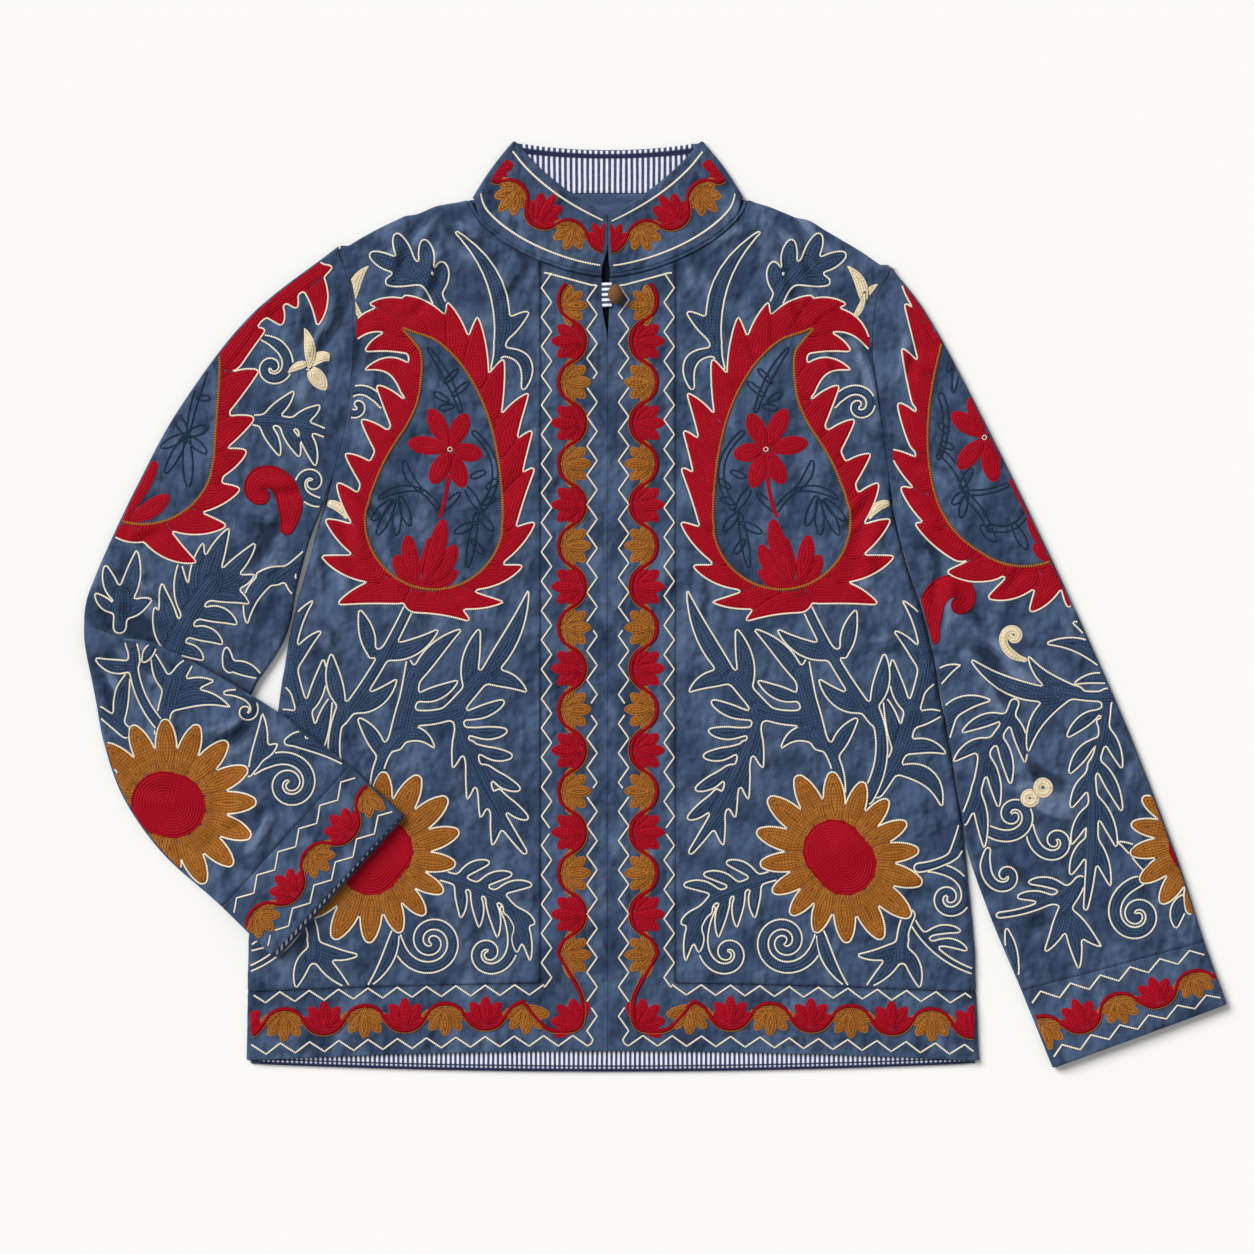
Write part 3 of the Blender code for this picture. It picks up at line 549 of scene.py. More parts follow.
def front_points(side):
    """The outer face of the main panel, from the border to the side and up to the neck and shoulder."""
    start = BORDER + SEAM_GAP / 2
    end_y = SHOULDER_POINT[side][1] - TOP
    reach_top = half_width(side, end_y) - TOP
    under_neck, at_neck_point = np.linspace(0.004, 0.0450, 17), np.linspace(0.0463, 0.0590, 14)
    steps = np.concatenate([[0, 0.0008, 0.0018], under_neck, at_neck_point,
                            np.linspace(0.0610, reach_top - start, 84)])
    s = steps[None, :] / (reach_top - start)
    t = np.concatenate([[0, 0.0015, 0.0032], np.linspace(0.007, 1, 228)])[:, None]
    bottom = hem_line(FRONT_HEM, start) + BORDER + SEAM_GAP / 2
    side_y = bottom + t * (end_y - bottom)
    for _ in range(4):
        x = start + s * (half_width(side, side_y) - TOP - start)
        last = x[-1:]
        amount = shoulder_roll(last)
        top = (1 - amount) * (neck_seam(last) - SEAM_GAP) + amount * shoulder_line(side, last) - TOP
        low = bottom + (hem_line(FRONT_HEM, x) - hem_line(FRONT_HEM, start)) * (1 - t)
        y = low * (1 - t) + t * top
        side_y = y[:, -1:]
    flat = stack(x, y, front_height(SIGN[side] * x, y))
    edge = flat[:, -1]
    grid = np.concatenate([flat, roll_over(edge, edge[:, 2], side_roll(edge[:, 1]), 0, 8)], axis=1)
    edge = grid[-1]
    over = roll_over(edge, edge[:, 2], shoulder_roll(edge[:, 0]), 1, 8).swapaxes(0, 1)
    grid = np.concatenate([grid, over])
    grid = np.concatenate([np.stack(turned(grid[:, 0], grid[:, 1], False)[::-1], axis=1), grid], axis=1)
    grid = np.concatenate([np.stack(turned(grid[0], grid[1], False)[::-1]), grid])
    grid[..., 0] *= SIGN[side]
    grid[..., 2] = np.maximum(grid[..., 2], 0)
    return grid


body_grids = {"right": [], "left": []}
for side in SIGN:
    grid = front_points(side)
    body_grids[side].append(grid)
    light_and_shade = body_light_and_shade(grid[..., 0], grid[..., 1])
    front = in_velvet(f"front_{side}_cloth", grid, faces_of(grid, SIGN[side]), light_and_shade)
    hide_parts(f"front_{side}")

# Worked borders
# A velvet band down each front from the neck, turning the corner and running along the hem in one L.
# It is sewn to the main panel along its inner edge and turned in at the front edge and hem.


def border_points(side):
    """The outer face of one border, along it from the neck, and across it from the front edge."""
    c = np.concatenate([[0, 0.008, 0.02], np.linspace(0.05, 0.95, 17), [0.98, 0.992, 1]])[None, :]
    k = np.linspace(0, 1, 220)[:, None]
    inset = BORDER - SEAM_GAP / 2
    corner_x = c * inset
    corner_y = hem_line(FRONT_HEM, corner_x) + c * inset
    top_x = slit_edge(side, 0.59) + c * (inset - slit_edge(side, 0.59))
    top_y = neck_seam(top_x) - SEAM_GAP
    y_down = top_y + k * (corner_y - top_y)
    edge = slit_edge(side, y_down)
    x_down = edge + c * (inset - edge)
    reach = half_width(side, hem_line(FRONT_HEM, 0.27) + c * inset) - TOP
    m = np.linspace(0, 1, 82)[1:, None]
    x_along = x_down[-1:] + m * (reach - x_down[-1:])
    y_along = hem_line(FRONT_HEM, x_along) + c * inset
    x, y = np.vstack([x_down, x_along]), np.vstack([y_down, y_along])
    flat = stack(x, y, front_height(SIGN[side] * x, y))
    end = flat[-1]
    grid = np.concatenate([flat, roll_over(end, end[:, 2], 1.0, 0, 8).swapaxes(0, 1)])
    grid = np.concatenate([np.stack(turned(grid[:, 0], grid[:, 1], True)[::-1], axis=1), grid,
                           np.stack(turned(grid[:, -1], grid[:, -2], False), axis=1)], axis=1)
    grid = np.concatenate([np.stack(turned(grid[0], grid[1], False)[::-1]), grid])
    grid[..., 0] *= SIGN[side]
    grid[..., 2] = np.maximum(grid[..., 2], 0)
    return grid


for side in SIGN:
    grid = border_points(side)
    body_grids[side].append(grid)
    light_and_shade = body_light_and_shade(grid[..., 0], grid[..., 1])
    border = in_velvet(f"border_{side}_cloth", grid, faces_of(grid, -SIGN[side]), light_and_shade)
    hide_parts(f"border_{side}")

# Sleeves
# Each is one tube of velvet set into the armhole: the left one lies straight beside the body.
# The right one bends at the elbow, where its forearm turns back over the upper arm and the front.

# place, x and y of the outer end, x and y of the inner end, bow towards the body, in millimetres
LEFT_SLEEVE = (
    ("armhole", 214.3, 601.2, 214.8, 420, 0),
    ("cap", 245, 560, 220, 398, 6),
    ("upper arm", 289.5, 476, 235.5, 348, 2),
    ("elbow", 342, 368, 251, 285, 0),
    ("forearm", 393, 254, 269, 174, 0),
    ("lower arm", 433, 150, 288.5, 112, 0),
    ("cuff seam", 453.5, 87, 314.5, 49.5, 0),
    ("cuff edge", 470.4, 40.3, 337.8, -8.4, 0),
)
RIGHT_SLEEVE = (
    ("armhole", -205, 615.8, -216, 420, 0),
    ("cap", -273, 562, -226.5, 393, 6),
    ("upper arm", -325, 494, -236, 358, 3),
    ("above the elbow", -356, 438, -244.5, 320, 0),
    ("tuck", -380, 388, -264, 288, 0),
    ("tuck end", -391.5, 361, -286, 264, 0),
    ("tuck back", -396.5, 347, -338, 300, 0),
    ("crease", -398.5, 331, -385, 324.5, 0),
    ("turn", -396.5, 306, -372, 318.5, 0),
    ("over", -390, 272, -345, 314, 0),
    ("forearm", -383, 236, -312, 298, 0),
    ("middle", -368, 195, -280, 280, 0),
    ("lower arm", -338, 153, -240, 254.5, 0),
    ("cuff seam", -293, 113, -196, 220.5, 0),
    ("cuff edge", -255.7, 77.7, -155.9, 184.7, 0),
)
CREASE = 7
CUFF_SEAM = {"left": 6, "right": 13}
SEAM_HALF = 0.003
SLEEVE_PUFF = 0.0008
CUFF_RISE = 0.0018
LIE_ON = 0.0078
UNDER_SINK = 0.0012
CUFF_OPENING = 0.0050
POCKET_AT = (-0.363, 0.334)
POCKET_SIZE = (0.012, 0.010)
POCKET_DEPTH = 0.0020
# x and y of each end, height and half width, in millimetres
UPPER_FOLDS = (
    (235, 545, 232, 440, 1, 9), (248, 390, 330, 330, 0.9, 10), (268, 290, 350, 270, 0.9, 10),
    (300, 170, 390, 210, 0.8, 11), (-225, 560, -235, 440, 1, 9), (-250, 480, -325, 450, 0.9, 10),
    (-262, 410, -330, 380, 0.9, 10), (222, 580, 222, 500, -1.7, 4.5), (232, 575, 246, 520, -1.2, 4),
    (226, 432, 262, 396, -1.9, 4.5), (228, 452, 272, 432, -1.4, 4), (246, 348, 300, 322, -1.7, 4.5),
    (256, 300, 330, 304, -1.5, 4.5), (330, 368, 290, 352, -1.2, 4), (274, 208, 330, 222, -1.5, 4.5),
    (390, 240, 340, 228, -1.2, 4.5), (300, 88, 340, 122, -1.4, 4.5), (430, 102, 410, 140, -1.2, 4),
    (-214, 590, -220, 500, -1.7, 4.5), (-230, 580, -246, 522, -1.2, 4), (-224, 440, -270, 420, -1.9, 4.5),
    (-230, 410, -290, 404, -1.5, 4.5), (-244, 342, -300, 352, -1.5, 4.5),
    (-380, 346, -310, 340, -1.7, 4.5), (-386, 356, -330, 362, -1.4, 4), (240, 400, 250, 330, -2.6, 5),
    (250, 372, 262, 300, 2.4, 6), (236, 392, 266, 326, 2, 6.5), (266, 320, 344, 284, 2.2, 6.5),
    (270, 302, 334, 258, -2.4, 6), (306, 238, 368, 200, -2.2, 6.5), (314, 216, 362, 174, 2, 6.5),
    (290, 160, 344, 124, -2, 6), (376, 272, 400, 190, 1.8, 6.8), (304, 104, 374, 118, -1.7, 6),
    (222, 586, 217, 496, 1.6, 5), (230, 574, 224, 500, -2, 5), (226, 400, 254, 362, -2.2, 6),
    (-212, 592, -217, 500, -2.2, 5), (-222, 578, -227, 486, 1.8, 6), (-290, 370, -232, 408, -2.4, 6),
    (-272, 352, -236, 380, 2, 6), (-368, 380, -344, 350, 2.2, 5), (-388, 358, -364, 318, 2.2, 5),
    (-280, 314, -246, 338, -2.2, 6), (-330, 404, -366, 372, -2, 5), (-372, 334, -290, 316, 1.5, 6),
)
FOREARM_FOLDS = (
    (-375, 290, -300, 240, 0.9, 10), (-330, 210, -250, 200, 0.8, 11), (-388, 322, -345, 296, -2, 4.5),
    (-392, 310, -360, 262, -2, 4.5), (-394, 300, -378, 240, -1.5, 4), (-372, 318, -300, 282, -1.7, 4.5),
    (-366, 196, -320, 206, -1.5, 4.5), (-330, 150, -292, 176, -1.4, 4.5),
    (-250, 252, -268, 222, -1.4, 4.5), (-300, 124, -280, 150, -1, 4), (-312, 249, -262, 265, 2.2, 5),
    (-308, 239, -262, 254, -2.4, 5), (-266, 187, -300, 168, -2.2, 5), (-288, 152, -246, 183, 2.4, 6),
    (-278, 162, -250, 194, -2.2, 4.5), (-312, 134, -292, 118, -1.8, 4), (-385, 293, -364, 268, 2.2, 5),
    (-389, 283, -370, 246, -2.2, 4.5), (-374, 312, -330, 302, 2, 5), (-366, 304, -320, 288, -2.2, 5),
)


def signed_distance(polygon, x, y):
    """Distance of each point from a polygon's edge, negative inside it."""
    nearest = np.full(np.broadcast(x, y).shape, np.inf)
    crossings = np.zeros(nearest.shape, int)
    for (x1, y1), (x2, y2) in zip(polygon, np.roll(polygon, -1, axis=0)):
        run = (x2 - x1) ** 2 + (y2 - y1) ** 2
        along = np.clip(((x - x1) * (x2 - x1) + (y - y1) * (y2 - y1)) / max(run, 1e-12), 0, 1)
        away = np.hypot(x - x1 - along * (x2 - x1), y - y1 - along * (y2 - y1))
        nearest = np.minimum(nearest, away)
        spans = (y1 > y) != (y2 > y)
        level = np.where(spans, x1 + (y - y1) * (x2 - x1) / np.where(y2 == y1, 1, y2 - y1), x)
        crossings += spans & (x < level)
    return np.where(crossings % 2 == 1, -nearest, nearest)


def section_ends(table, at):
    """Outer end, inner end and bow of the sections at the given rows."""
    found = 0.001 * spline([row[1:] for row in table], at)
    return found[..., 0:2], found[..., 2:4], found[..., 4]


upper_outer, upper_inner, _ = section_ends(RIGHT_SLEEVE, np.linspace(2, CREASE, 40))
upper_arm = np.vstack([upper_outer, upper_inner[::-1]])
fore_rows = np.linspace(CREASE + 0.6, CUFF_SEAM["right"], 40)
fore_outer, fore_inner, _ = section_ends(RIGHT_SLEEVE, fore_rows)
forearm = np.vstack([fore_outer, fore_inner[::-1]])


def forearm_lift(x, y, at):
    """Height of the underside of the right sleeve: the forearm lies on the upper arm and on the front."""
    beside_body = np.maximum(-x - half_width("right", y), 0)
    beside_body = np.where(y > UNDERARM, 1.0, beside_body)
    beside_arm = np.maximum(signed_distance(upper_arm, x, y), 0)
    lift = LIE_ON - 0.22 * np.minimum(beside_arm, beside_body)
    return np.maximum(lift, 0) * smoothstep(CREASE, CREASE + 0.8, at)


top_shares = 0.5 - 0.5 * np.cos(np.pi * np.linspace(0.03, 0.97, 92))
bottom_shares = 0.5 - 0.5 * np.cos(np.pi * np.linspace(0.06, 0.94, 16))
cap_turns = np.radians(np.linspace(75, -75, 11))
top, cap, bottom = (np.ones(len(part)) for part in (top_shares, cap_turns, bottom_shares))
tube_shares = np.concatenate([top_shares, cap, bottom_shares[::-1], 0 * cap])[None, :]
tube_turns = np.concatenate([top * np.pi / 2, cap_turns, -bottom * np.pi / 2, cap_turns[::-1]])[None, :]
tube_outward = np.concatenate([0 * top, cap, 0 * bottom, -cap])[None, :]


def tube_points(side, table, rows, inward=0.0):
    """The skin of a flat tube through the sections of the table, moved in by inward."""
    at = np.asarray(rows, float)[:, None]
    outer_end, inner_end, bow = section_ends(table, at[:, 0])
    last = len(table) - 1
    height = TOP + CUFF_RISE * smoothstep(last - 1, last, at)
    run = inner_end - outer_end
    length = np.hypot(run[:, 0], run[:, 1])[:, None]
    along = run / length
    radius = height / 2 - inward
    centre = height / 2 + tube_shares * (length - height) + tube_outward * radius * np.cos(tube_turns)
    x = outer_end[:, 0:1] + along[:, 0:1] * centre
    y = outer_end[:, 1:2] + along[:, 1:2] * centre
    middle = np.sin(np.pi * np.clip(centre / length, 0, 1))
    if at[0] == 0:
        first = outer_end[0] + run[0] * (centre / length)[..., None]
        armhole = SIGN[side] * (half_width(side, first[..., 1]) + SEAM_GAP) - first[..., 0]
        x = x + armhole * (1 - smoothstep(0.0, 1.2, at)) * np.minimum(1, 4 * middle)
    x = x - SIGN[side] * bow[:, None] * middle
    if side == "left":
        x = np.maximum(x, half_width(side, y) + SEAM_GAP)
    if side == "right":
        lower = smoothstep(0.1, 0.9, -np.sin(tube_turns)) * smoothstep(last - 0.6, last, at)
        opened = CUFF_OPENING * (1 - 0.55 * centre / length) * lower
        x = x + along[:, 1:2] * opened
        y = y - along[:, 0:1] * opened
    arm = folds(UPPER_FOLDS, x, y)
    if side == "right":
        arm = arm + smoothstep(CREASE - 0.3, CREASE + 0.3, at) * (folds(FOREARM_FOLDS, x, y) - arm)
    pile = crush(x + 0.7, y + (at > CREASE) * 0.5) if inward == 0 else 0
    puff = (SLEEVE_PUFF * middle + (arm + pile) * middle**0.5) * (np.sin(tube_turns) > 0.99)
    z = height / 2 + radius * np.sin(tube_turns) + puff
    under = 0
    pocket = 0
    if side == "right":
        under = np.exp(-np.maximum(signed_distance(forearm, x, y), 0) / 0.006)
        under = under * (1 - smoothstep(5, CREASE, at))
        pocket = near(x - POCKET_AT[0], POCKET_SIZE[0]) * near(y - POCKET_AT[1], POCKET_SIZE[1])
        pocket = pocket * (at < CREASE)
        sunk = UNDER_SINK * under + POCKET_DEPTH * pocket
        z = z + forearm_lift(x, y, at) - sunk * (np.sin(tube_turns) > 0.99)
    # painted light and shade over the folds, and painted shade beside the cuff seam, along the forearm's edge
    # on the upper arm and in the pocket at the crook
    seam = near(at - last + 1, 0.05)
    arm_shading = 0.5 + (FOLD_SHADE * arm + CRUSH_SHADE * pile) * middle**0.5
    arm_shading = arm_shading - 0.35 * seam - 0.5 * under - 0.9 * pocket
    return stack(x, y, z), np.broadcast_to(arm_shading, z.shape)


left_rows = np.linspace(2, CUFF_SEAM["left"] - SEAM_HALF, 220)[1:]
right_rows = np.linspace(9, CUFF_SEAM["right"] - SEAM_HALF, 100)[1:]
SLEEVES = {
    "left": (LEFT_SLEEVE, np.concatenate([np.linspace(0, 2, 80), left_rows])),
    "right": (RIGHT_SLEEVE, np.concatenate([np.linspace(0, 4, 130), np.linspace(4, 9, 110)[1:], right_rows])),
}
sleeve_grids = {}
for side, (table, rows) in SLEEVES.items():
    grid, light_and_shade = tube_points(side, table, rows)
    sleeve_grids[side] = grid
    sleeve = in_velvet(f"sleeve_{side}_cloth", grid, faces_of(grid, SIGN[side], True), light_and_shade)
    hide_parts(f"sleeve_{side}")

# Cuffs
# A band of velvet at the end of each sleeve, turned in at its edge.
# A striped cotton lining shows inside the opening.

cuff_cotton = striped("striped cuff cotton", 0, 0.0036)
cuff_grids = {}
for side, (table, _) in SLEEVES.items():
    last = len(table) - 1
    along_cuff = np.concatenate([[SEAM_HALF, 0.02], np.linspace(0.05, 0.97, 24), [1.0]])
    grid, _ = tube_points(side, table, last - 1 + along_cuff)
    cuff_grids[side] = grid
    step = grid[-1].mean(axis=0) - grid[-3].mean(axis=0)
    step = step * np.array([1, 1, 0]) / np.linalg.norm(step)
    rim = []
    for inward, out in ((0.0004, 0.0007), (0.0011, 0.0010), (0.0018, 0.0007), (CLOTH, 0.0)):
        rim.append(tube_points(side, table, [last, last], inward)[0][0] + step * out)
    inside = tube_points(side, table, [last - 0.1, last - 0.25], CLOTH)[0]
    seam = tube_points(side, table, [last - 1 + SEAM_HALF] * 2, 0.0009)[0][:1]
    whole = np.concatenate([seam, grid, np.stack(rim), inside])
    light_and_shade = np.full(whole.shape[:2], 0.5)
    cuff = in_velvet(f"cuff_{side}_cloth", whole, faces_of(whole, SIGN[side], True), light_and_shade)
    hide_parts(f"cuff_{side}")
    tube, _ = tube_points(side, table, np.linspace(last - 0.26, last - 0.02, 8), CLOTH + SEAM_GAP)
    lining = in_cotton(f"cuff_lining_{side}_cloth", tube, faces_of(tube, -SIGN[side], True), cuff_cotton,
                       np.zeros(tube.shape[:2]))
    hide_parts(f"cuff_lining_{side}")

# Collar
# One stand-up band of velvet round the neck, folded flat at both sides, with its halves meeting in front.
# Its lower edge is sewn into the neck seam with the piping.

COLLAR_CORNER = (0.0722, 0.6955)
PIPING = 0.0030
COLLAR_SHRINK = PIPING + 2 * SEAM_GAP
COLLAR_MEETS = (0.0004, 0.6385)
COLLAR_BACK_TOP = 0.6885
COLLAR_FRONT_COUNT = 74


def collar_half(side, turn_count=12, back_count=40):
    """Bottom and top points, outward direction and turns of the rulings, from the front to the back."""
    reach = NECK_POINT[0] - COLLAR_SHRINK
    fold = np.array(COLLAR_CORNER) - (reach, NECK_POINT[1])
    out = np.array([fold[1], -fold[0]]) / np.hypot(*fold)
    f = np.concatenate([[0, 0.004, 0.012], np.linspace(0.025, 1, COLLAR_FRONT_COUNT - 3)])
    low_x = np.maximum(reach * np.sin(np.pi / 2 * f), slit_edge(side, 0.596))
    low = np.stack([low_x, neck_seam(low_x, COLLAR_SHRINK)], axis=1)
    high = np.array(COLLAR_MEETS) + f[:, None] * (np.array(COLLAR_CORNER) - COLLAR_MEETS)
    high = high + np.sin(np.pi * f)[:, None] * 0.0045 * np.array([0.62, -0.78])
    pull = (smoothstep(0.75, 1.0, f) * TOP / 2)[:, None] * out
    low, high = low - pull, high - pull
    low[:, 1] += (back_neck(low[-1, 0]) - low[-1, 1]) * smoothstep(0.75, 1.0, f)
    back = np.linspace(0, 1, back_count)[1:, None]
    low_back = low[-1] * (1 - back)
    low_back[:, 1:] = back_neck(low_back[:, :1])
    high_back = high[-1] * (1 - back)
    high_back[:, 1:] = COLLAR_BACK_TOP + (high[-1, 1] - COLLAR_BACK_TOP) * (1 - back) ** 2
    lows = np.vstack([low, np.repeat(low[-1:], turn_count, axis=0), low_back])
    highs = np.vstack([high, np.repeat(high[-1:], turn_count, axis=0), high_back])
    turns = np.linspace(np.pi / 2, -np.pi / 2, turn_count + 1)[1:]
    turns = np.concatenate([np.full(len(f), np.pi / 2), turns, np.full(len(back), -np.pi / 2)])
    return lows, highs, out, turns


def collar_skin(inward):
    """One skin of the collar, from the right centre front round the back to the left."""
    v = np.concatenate([[0, 0.03], np.linspace(0.07, 0.93, 20), [0.97, 1]])[:, None]
    parts = []
    for side in SIGN:
        low, high, out, angle = collar_half(side)
        radius = TOP / 2 - inward
        bulge = 0.0014 * np.sin(np.pi * v) * np.maximum(np.cos(angle), 0) ** 0.5
        x = low[:, 0] + v * (high[:, 0] - low[:, 0]) + out[0] * (radius * np.cos(angle) + bulge)
        y = low[:, 1] + v * (high[:, 1] - low[:, 1]) + out[1] * (radius * np.cos(angle) + bulge)
        x[:, 0] = slit_edge(side, y[:, 0])
        x = SIGN[side] * x
        pile = crush(x + 0.3, y) + 0.0007 * lumps(x + 0.2, 0.3 * y, 0.016, 8)
        parts.append(stack(x, y, TOP / 2 + radius * np.sin(angle) + pile * (angle > 1.5)))
    return np.concatenate([parts[0], parts[1][:, -2::-1]], axis=1)


collar_grid = collar_skin(0.0)
points, faces = closed_wall(collar_grid, collar_skin(CLOTH), 0.0006)
light_and_shade = np.full(len(points), 0.5)
# painted light and shade that follow the collar's lumps
light_and_shade[: collar_grid[..., 0].size] += (260 * crush(collar_grid[..., 0] + 0.3, collar_grid[..., 1])).ravel()
collar = in_velvet("collar_cloth", points, faces[:, ::-1], light_and_shade)
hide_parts("collar")

# Collar lining
# Striped cotton on the inside of the collar's back, with a line of navy stitching below its top edge.

LINING_REACH = 0.0785
collar_cotton = striped("striped collar cotton", 0, 0.0042, 0.0010)
lining_share = np.linspace(-1, 1, 150)[None, :]
rise = np.concatenate([np.linspace(0, 0.80, 14), [0.83, 0.845, 0.90, 0.915, 0.95, 1.0]])[:, None]
lining_x = lining_share * (LINING_REACH - 0.0135 * rise)
lining_low = back_neck(lining_share * LINING_REACH) + 0.0004
lining_high = COLLAR_BACK_TOP + 0.0055 * lining_share**2 - 0.0004
lining_y = lining_low + rise * (lining_high - lining_low)
points, faces = lining_wall(lining_x, lining_y, 0.00012 * lumps(lining_x, lining_y, 0.008, 5))
stitching = ((rise > 0.82) & (rise < 0.92)) * np.ones_like(lining_x)
stitching = on_both_skins(stitching, points, 0.0)
lining = in_cotton("collar_lining_cloth", points, faces, collar_cotton, stitching)
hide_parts("collar_lining")

# Neck piping
# A thin cord covered in velvet, caught in the neck seam between the collar and the fronts.


def tube_along(path, radius, sides=10):
    """Points and faces of a round cord along a path in space."""
    path = np.asarray(path, float)
    along = np.gradient(path, axis=0)
    along = along / np.linalg.norm(along, axis=1, keepdims=True)
    across = np.cross(along, (0, 0, 1))
    across = across / np.linalg.norm(across, axis=1, keepdims=True)
    over = np.cross(across, along)
    turn = np.linspace(0, 2 * np.pi, sides, endpoint=False)[None, :, None]
    radius = np.broadcast_to(np.asarray(radius, float), (len(path),))[:, None, None]
    rings = path[:, None] + radius * (np.cos(turn) * across[:, None] + np.sin(turn) * over[:, None])
    faces = grid_faces(len(path), sides, True)[:, ::-1]
    return rings.reshape(-1, 3), faces


for side in SIGN:
    reach = NECK_POINT[0] - COLLAR_SHRINK / 2
    f = np.linspace(0, 0.985, 120)
    x = np.maximum(reach * np.sin(np.pi / 2 * f), slit_edge(side, 0.592))
    x = x + np.linspace(0, 1e-6, len(x))
    y = neck_seam(x, COLLAR_SHRINK / 2)
    radius = PIPING / 2 * np.clip(np.arange(len(x)) / 3 + 0.3, 0, 1) * 0.97
    points, faces = tube_along(stack(SIGN[side] * x, y, TOP - 0.0010), radius)
    piping = in_velvet(f"neck_piping_{side}_cord", points, faces, np.full(len(points), 0.36))
    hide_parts(f"neck_piping_{side}")

# Button
# An oval ball wound with brown cord, on the wearer's left front edge.

BUTTON_SIZE = (0.0057, 0.0068, 0.0050)
BUTTON_HIGH = 0.0121
SHANK = 0.0021
button_cord = Finish("wound brown cord", roughness=0.7, sheen=0.1, sheen_tint=(1.0, 0.8, 0.6))
ridge = button_cord.value("ridge")
fuzz = button_cord.noise(0.0006, 2.0)
# painted shade in the grooves between the winds of cord, lighter on their tops
shade = button_cord.mix(ridge, tint(34, 18, 10), tint(146, 96, 62))
button_cord.feed(Base_Color=button_cord.mix(fuzz.step(0.35, 0.7) * 0.3, shade, tint(150, 108, 76)))
button_cord.bump(fuzz, 0.0002, 0.6)
across = np.radians(np.linspace(-90, 90, 72))[:, None]
round_turn = np.linspace(0, 2 * np.pi, 96, endpoint=False)[None, :]
wound = 0.5 + 0.5 * np.cos((np.sin(across) * 5.4 + 0.16 * np.cos(round_turn)) * 2 * np.pi)
swell = 1 + 0.055 * (wound**0.6 - 0.5) * np.cos(across) ** 0.5
point = 1 + 0.10 * np.abs(np.sin(across)) ** 5
ball_x = BUTTON_SIZE[0] * np.cos(across) * np.cos(round_turn) * swell
ball_y = BUTTON_SIZE[1] * np.sin(across) * point * np.ones_like(round_turn)
ball_z = BUTTON_SIZE[2] * np.cos(across) * np.sin(round_turn) * swell
grid = stack(BUTTON_AT[0] + ball_x, BUTTON_AT[1] + ball_y, BUTTON_HIGH + ball_z)
ball = make_piece("button_ball", grid, faces_of(grid, -1, True), button_cord.material, "button_cord",
                  {"ridge": wound * np.ones(grid.shape[:2])})
turn = np.linspace(0, 2 * np.pi, 16, endpoint=False)[None, :]
shank_x, shank_y = BUTTON_AT[0] + SHANK * np.cos(turn), BUTTON_AT[1] + SHANK * np.sin(turn)
grid = stack(shank_x, shank_y, np.linspace(0.0066, 0.0085, 5)[:, None])
# the shank under the ball is painted mostly in the groove shade
make_piece("button_shank", grid, faces_of(grid, 1, True), button_cord.material, "button_cord",
           {"ridge": np.full(grid.shape[:2], 0.2)})
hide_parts("button")

# Button loop
# A short tab of striped cotton sewn to the wearer's right front edge; its end passes under the button.

TAB_LOW = 0.5692
TAB_WIDTH = 0.0183
tab_cotton = striped("striped tab cotton", 1, 0.0040)
tab_y = np.linspace(TAB_LOW, TAB_LOW + TAB_WIDTH, 24)[:, None]
tab_share = np.linspace(0, 1, 22)[None, :]
tab_start = 0.0004 - slit_edge("right", tab_y)
tab_x = tab_start + tab_share * (0.0028 - tab_start)
tab_z = 0.0056 + 0.0018 * smoothstep(-0.0046, -0.0002, tab_x)
tab_top = tab_z + 0.0003 * np.sin(np.pi * (tab_y - TAB_LOW) / TAB_WIDTH)
points, faces = closed_wall(stack(tab_x, tab_y, tab_top), stack(tab_x, tab_y, tab_z - 0.0010), 0.0003)
tab = in_cotton("button_loop_cloth", points, faces, tab_cotton, np.zeros(len(points)))
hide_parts("button_loop")

# Embroidery
# Rows of chain stitch fill each shape, and a cord is laid round most of them and caught down.
# The motifs are built here from leaves, scrolls and circles, placed in millimetres on the cloth.

ROOT_SHARE = 0.35
PROFILES = {
    "leaf": lambda t: 0.88 * np.maximum(np.sin(np.pi * t**0.80) ** 0.85, ROOT_SHARE * (1 - t)),
    "lobe": lambda t: np.maximum(np.sin(np.pi * t**1.35) ** 0.62, ROOT_SHARE * (1 - t)),
    "flame": lambda t: 1.3 * (1 - t**1.7) ** 0.85,
    "petal": lambda t: np.maximum(np.sin(np.pi * t**1.15) ** 0.6, 0.75 * (1 - t)),
    "finger": lambda t: np.clip(0.55 + 0.9 * t, 0, 1) * (1 - 0.62 * t**5),
    "stem": lambda t: 1 - 0.2 * t,
}


def stroke(kind, x1, y1, x2, y2, width, bow=0.0):
    """One leaf, flame, finger or stem from root to tip, as points and half widths; bow is to its left."""
    t = np.linspace(0, 1, 12)
    run = np.array([x2 - x1, y2 - y1], float)
    side = np.array([-run[1], run[0]])
    points = np.array([x1, y1]) + t[:, None] * run + (4 * t * (1 - t) * bow)[:, None] * side
    return points, PROFILES[kind](t) * width / 2


def scroll(x, y, middle_x, middle_y, radius, turns, hand, width, eye=1.5):
    """A stroke that leaves its root and winds in round a middle point; hand is 1 against the clock."""
    turn = np.linspace(0, 2 * np.pi * turns, 46)
    away = np.hypot(x - middle_x, y - middle_y)
    reach = eye + (radius - eye) * (1 - turn / turn[-1]) + (away - radius) * np.exp(-turn / 0.8)
    angle = np.arctan2(y - middle_y, x - middle_x) + hand * turn
    points = np.stack([middle_x + reach * np.cos(angle), middle_y + reach * np.sin(angle)], axis=1)
    half = width / 2 * (1 - 0.35 * turn / turn[-1]) * np.clip(0.5 + turn, 0, 1)
    return points, half


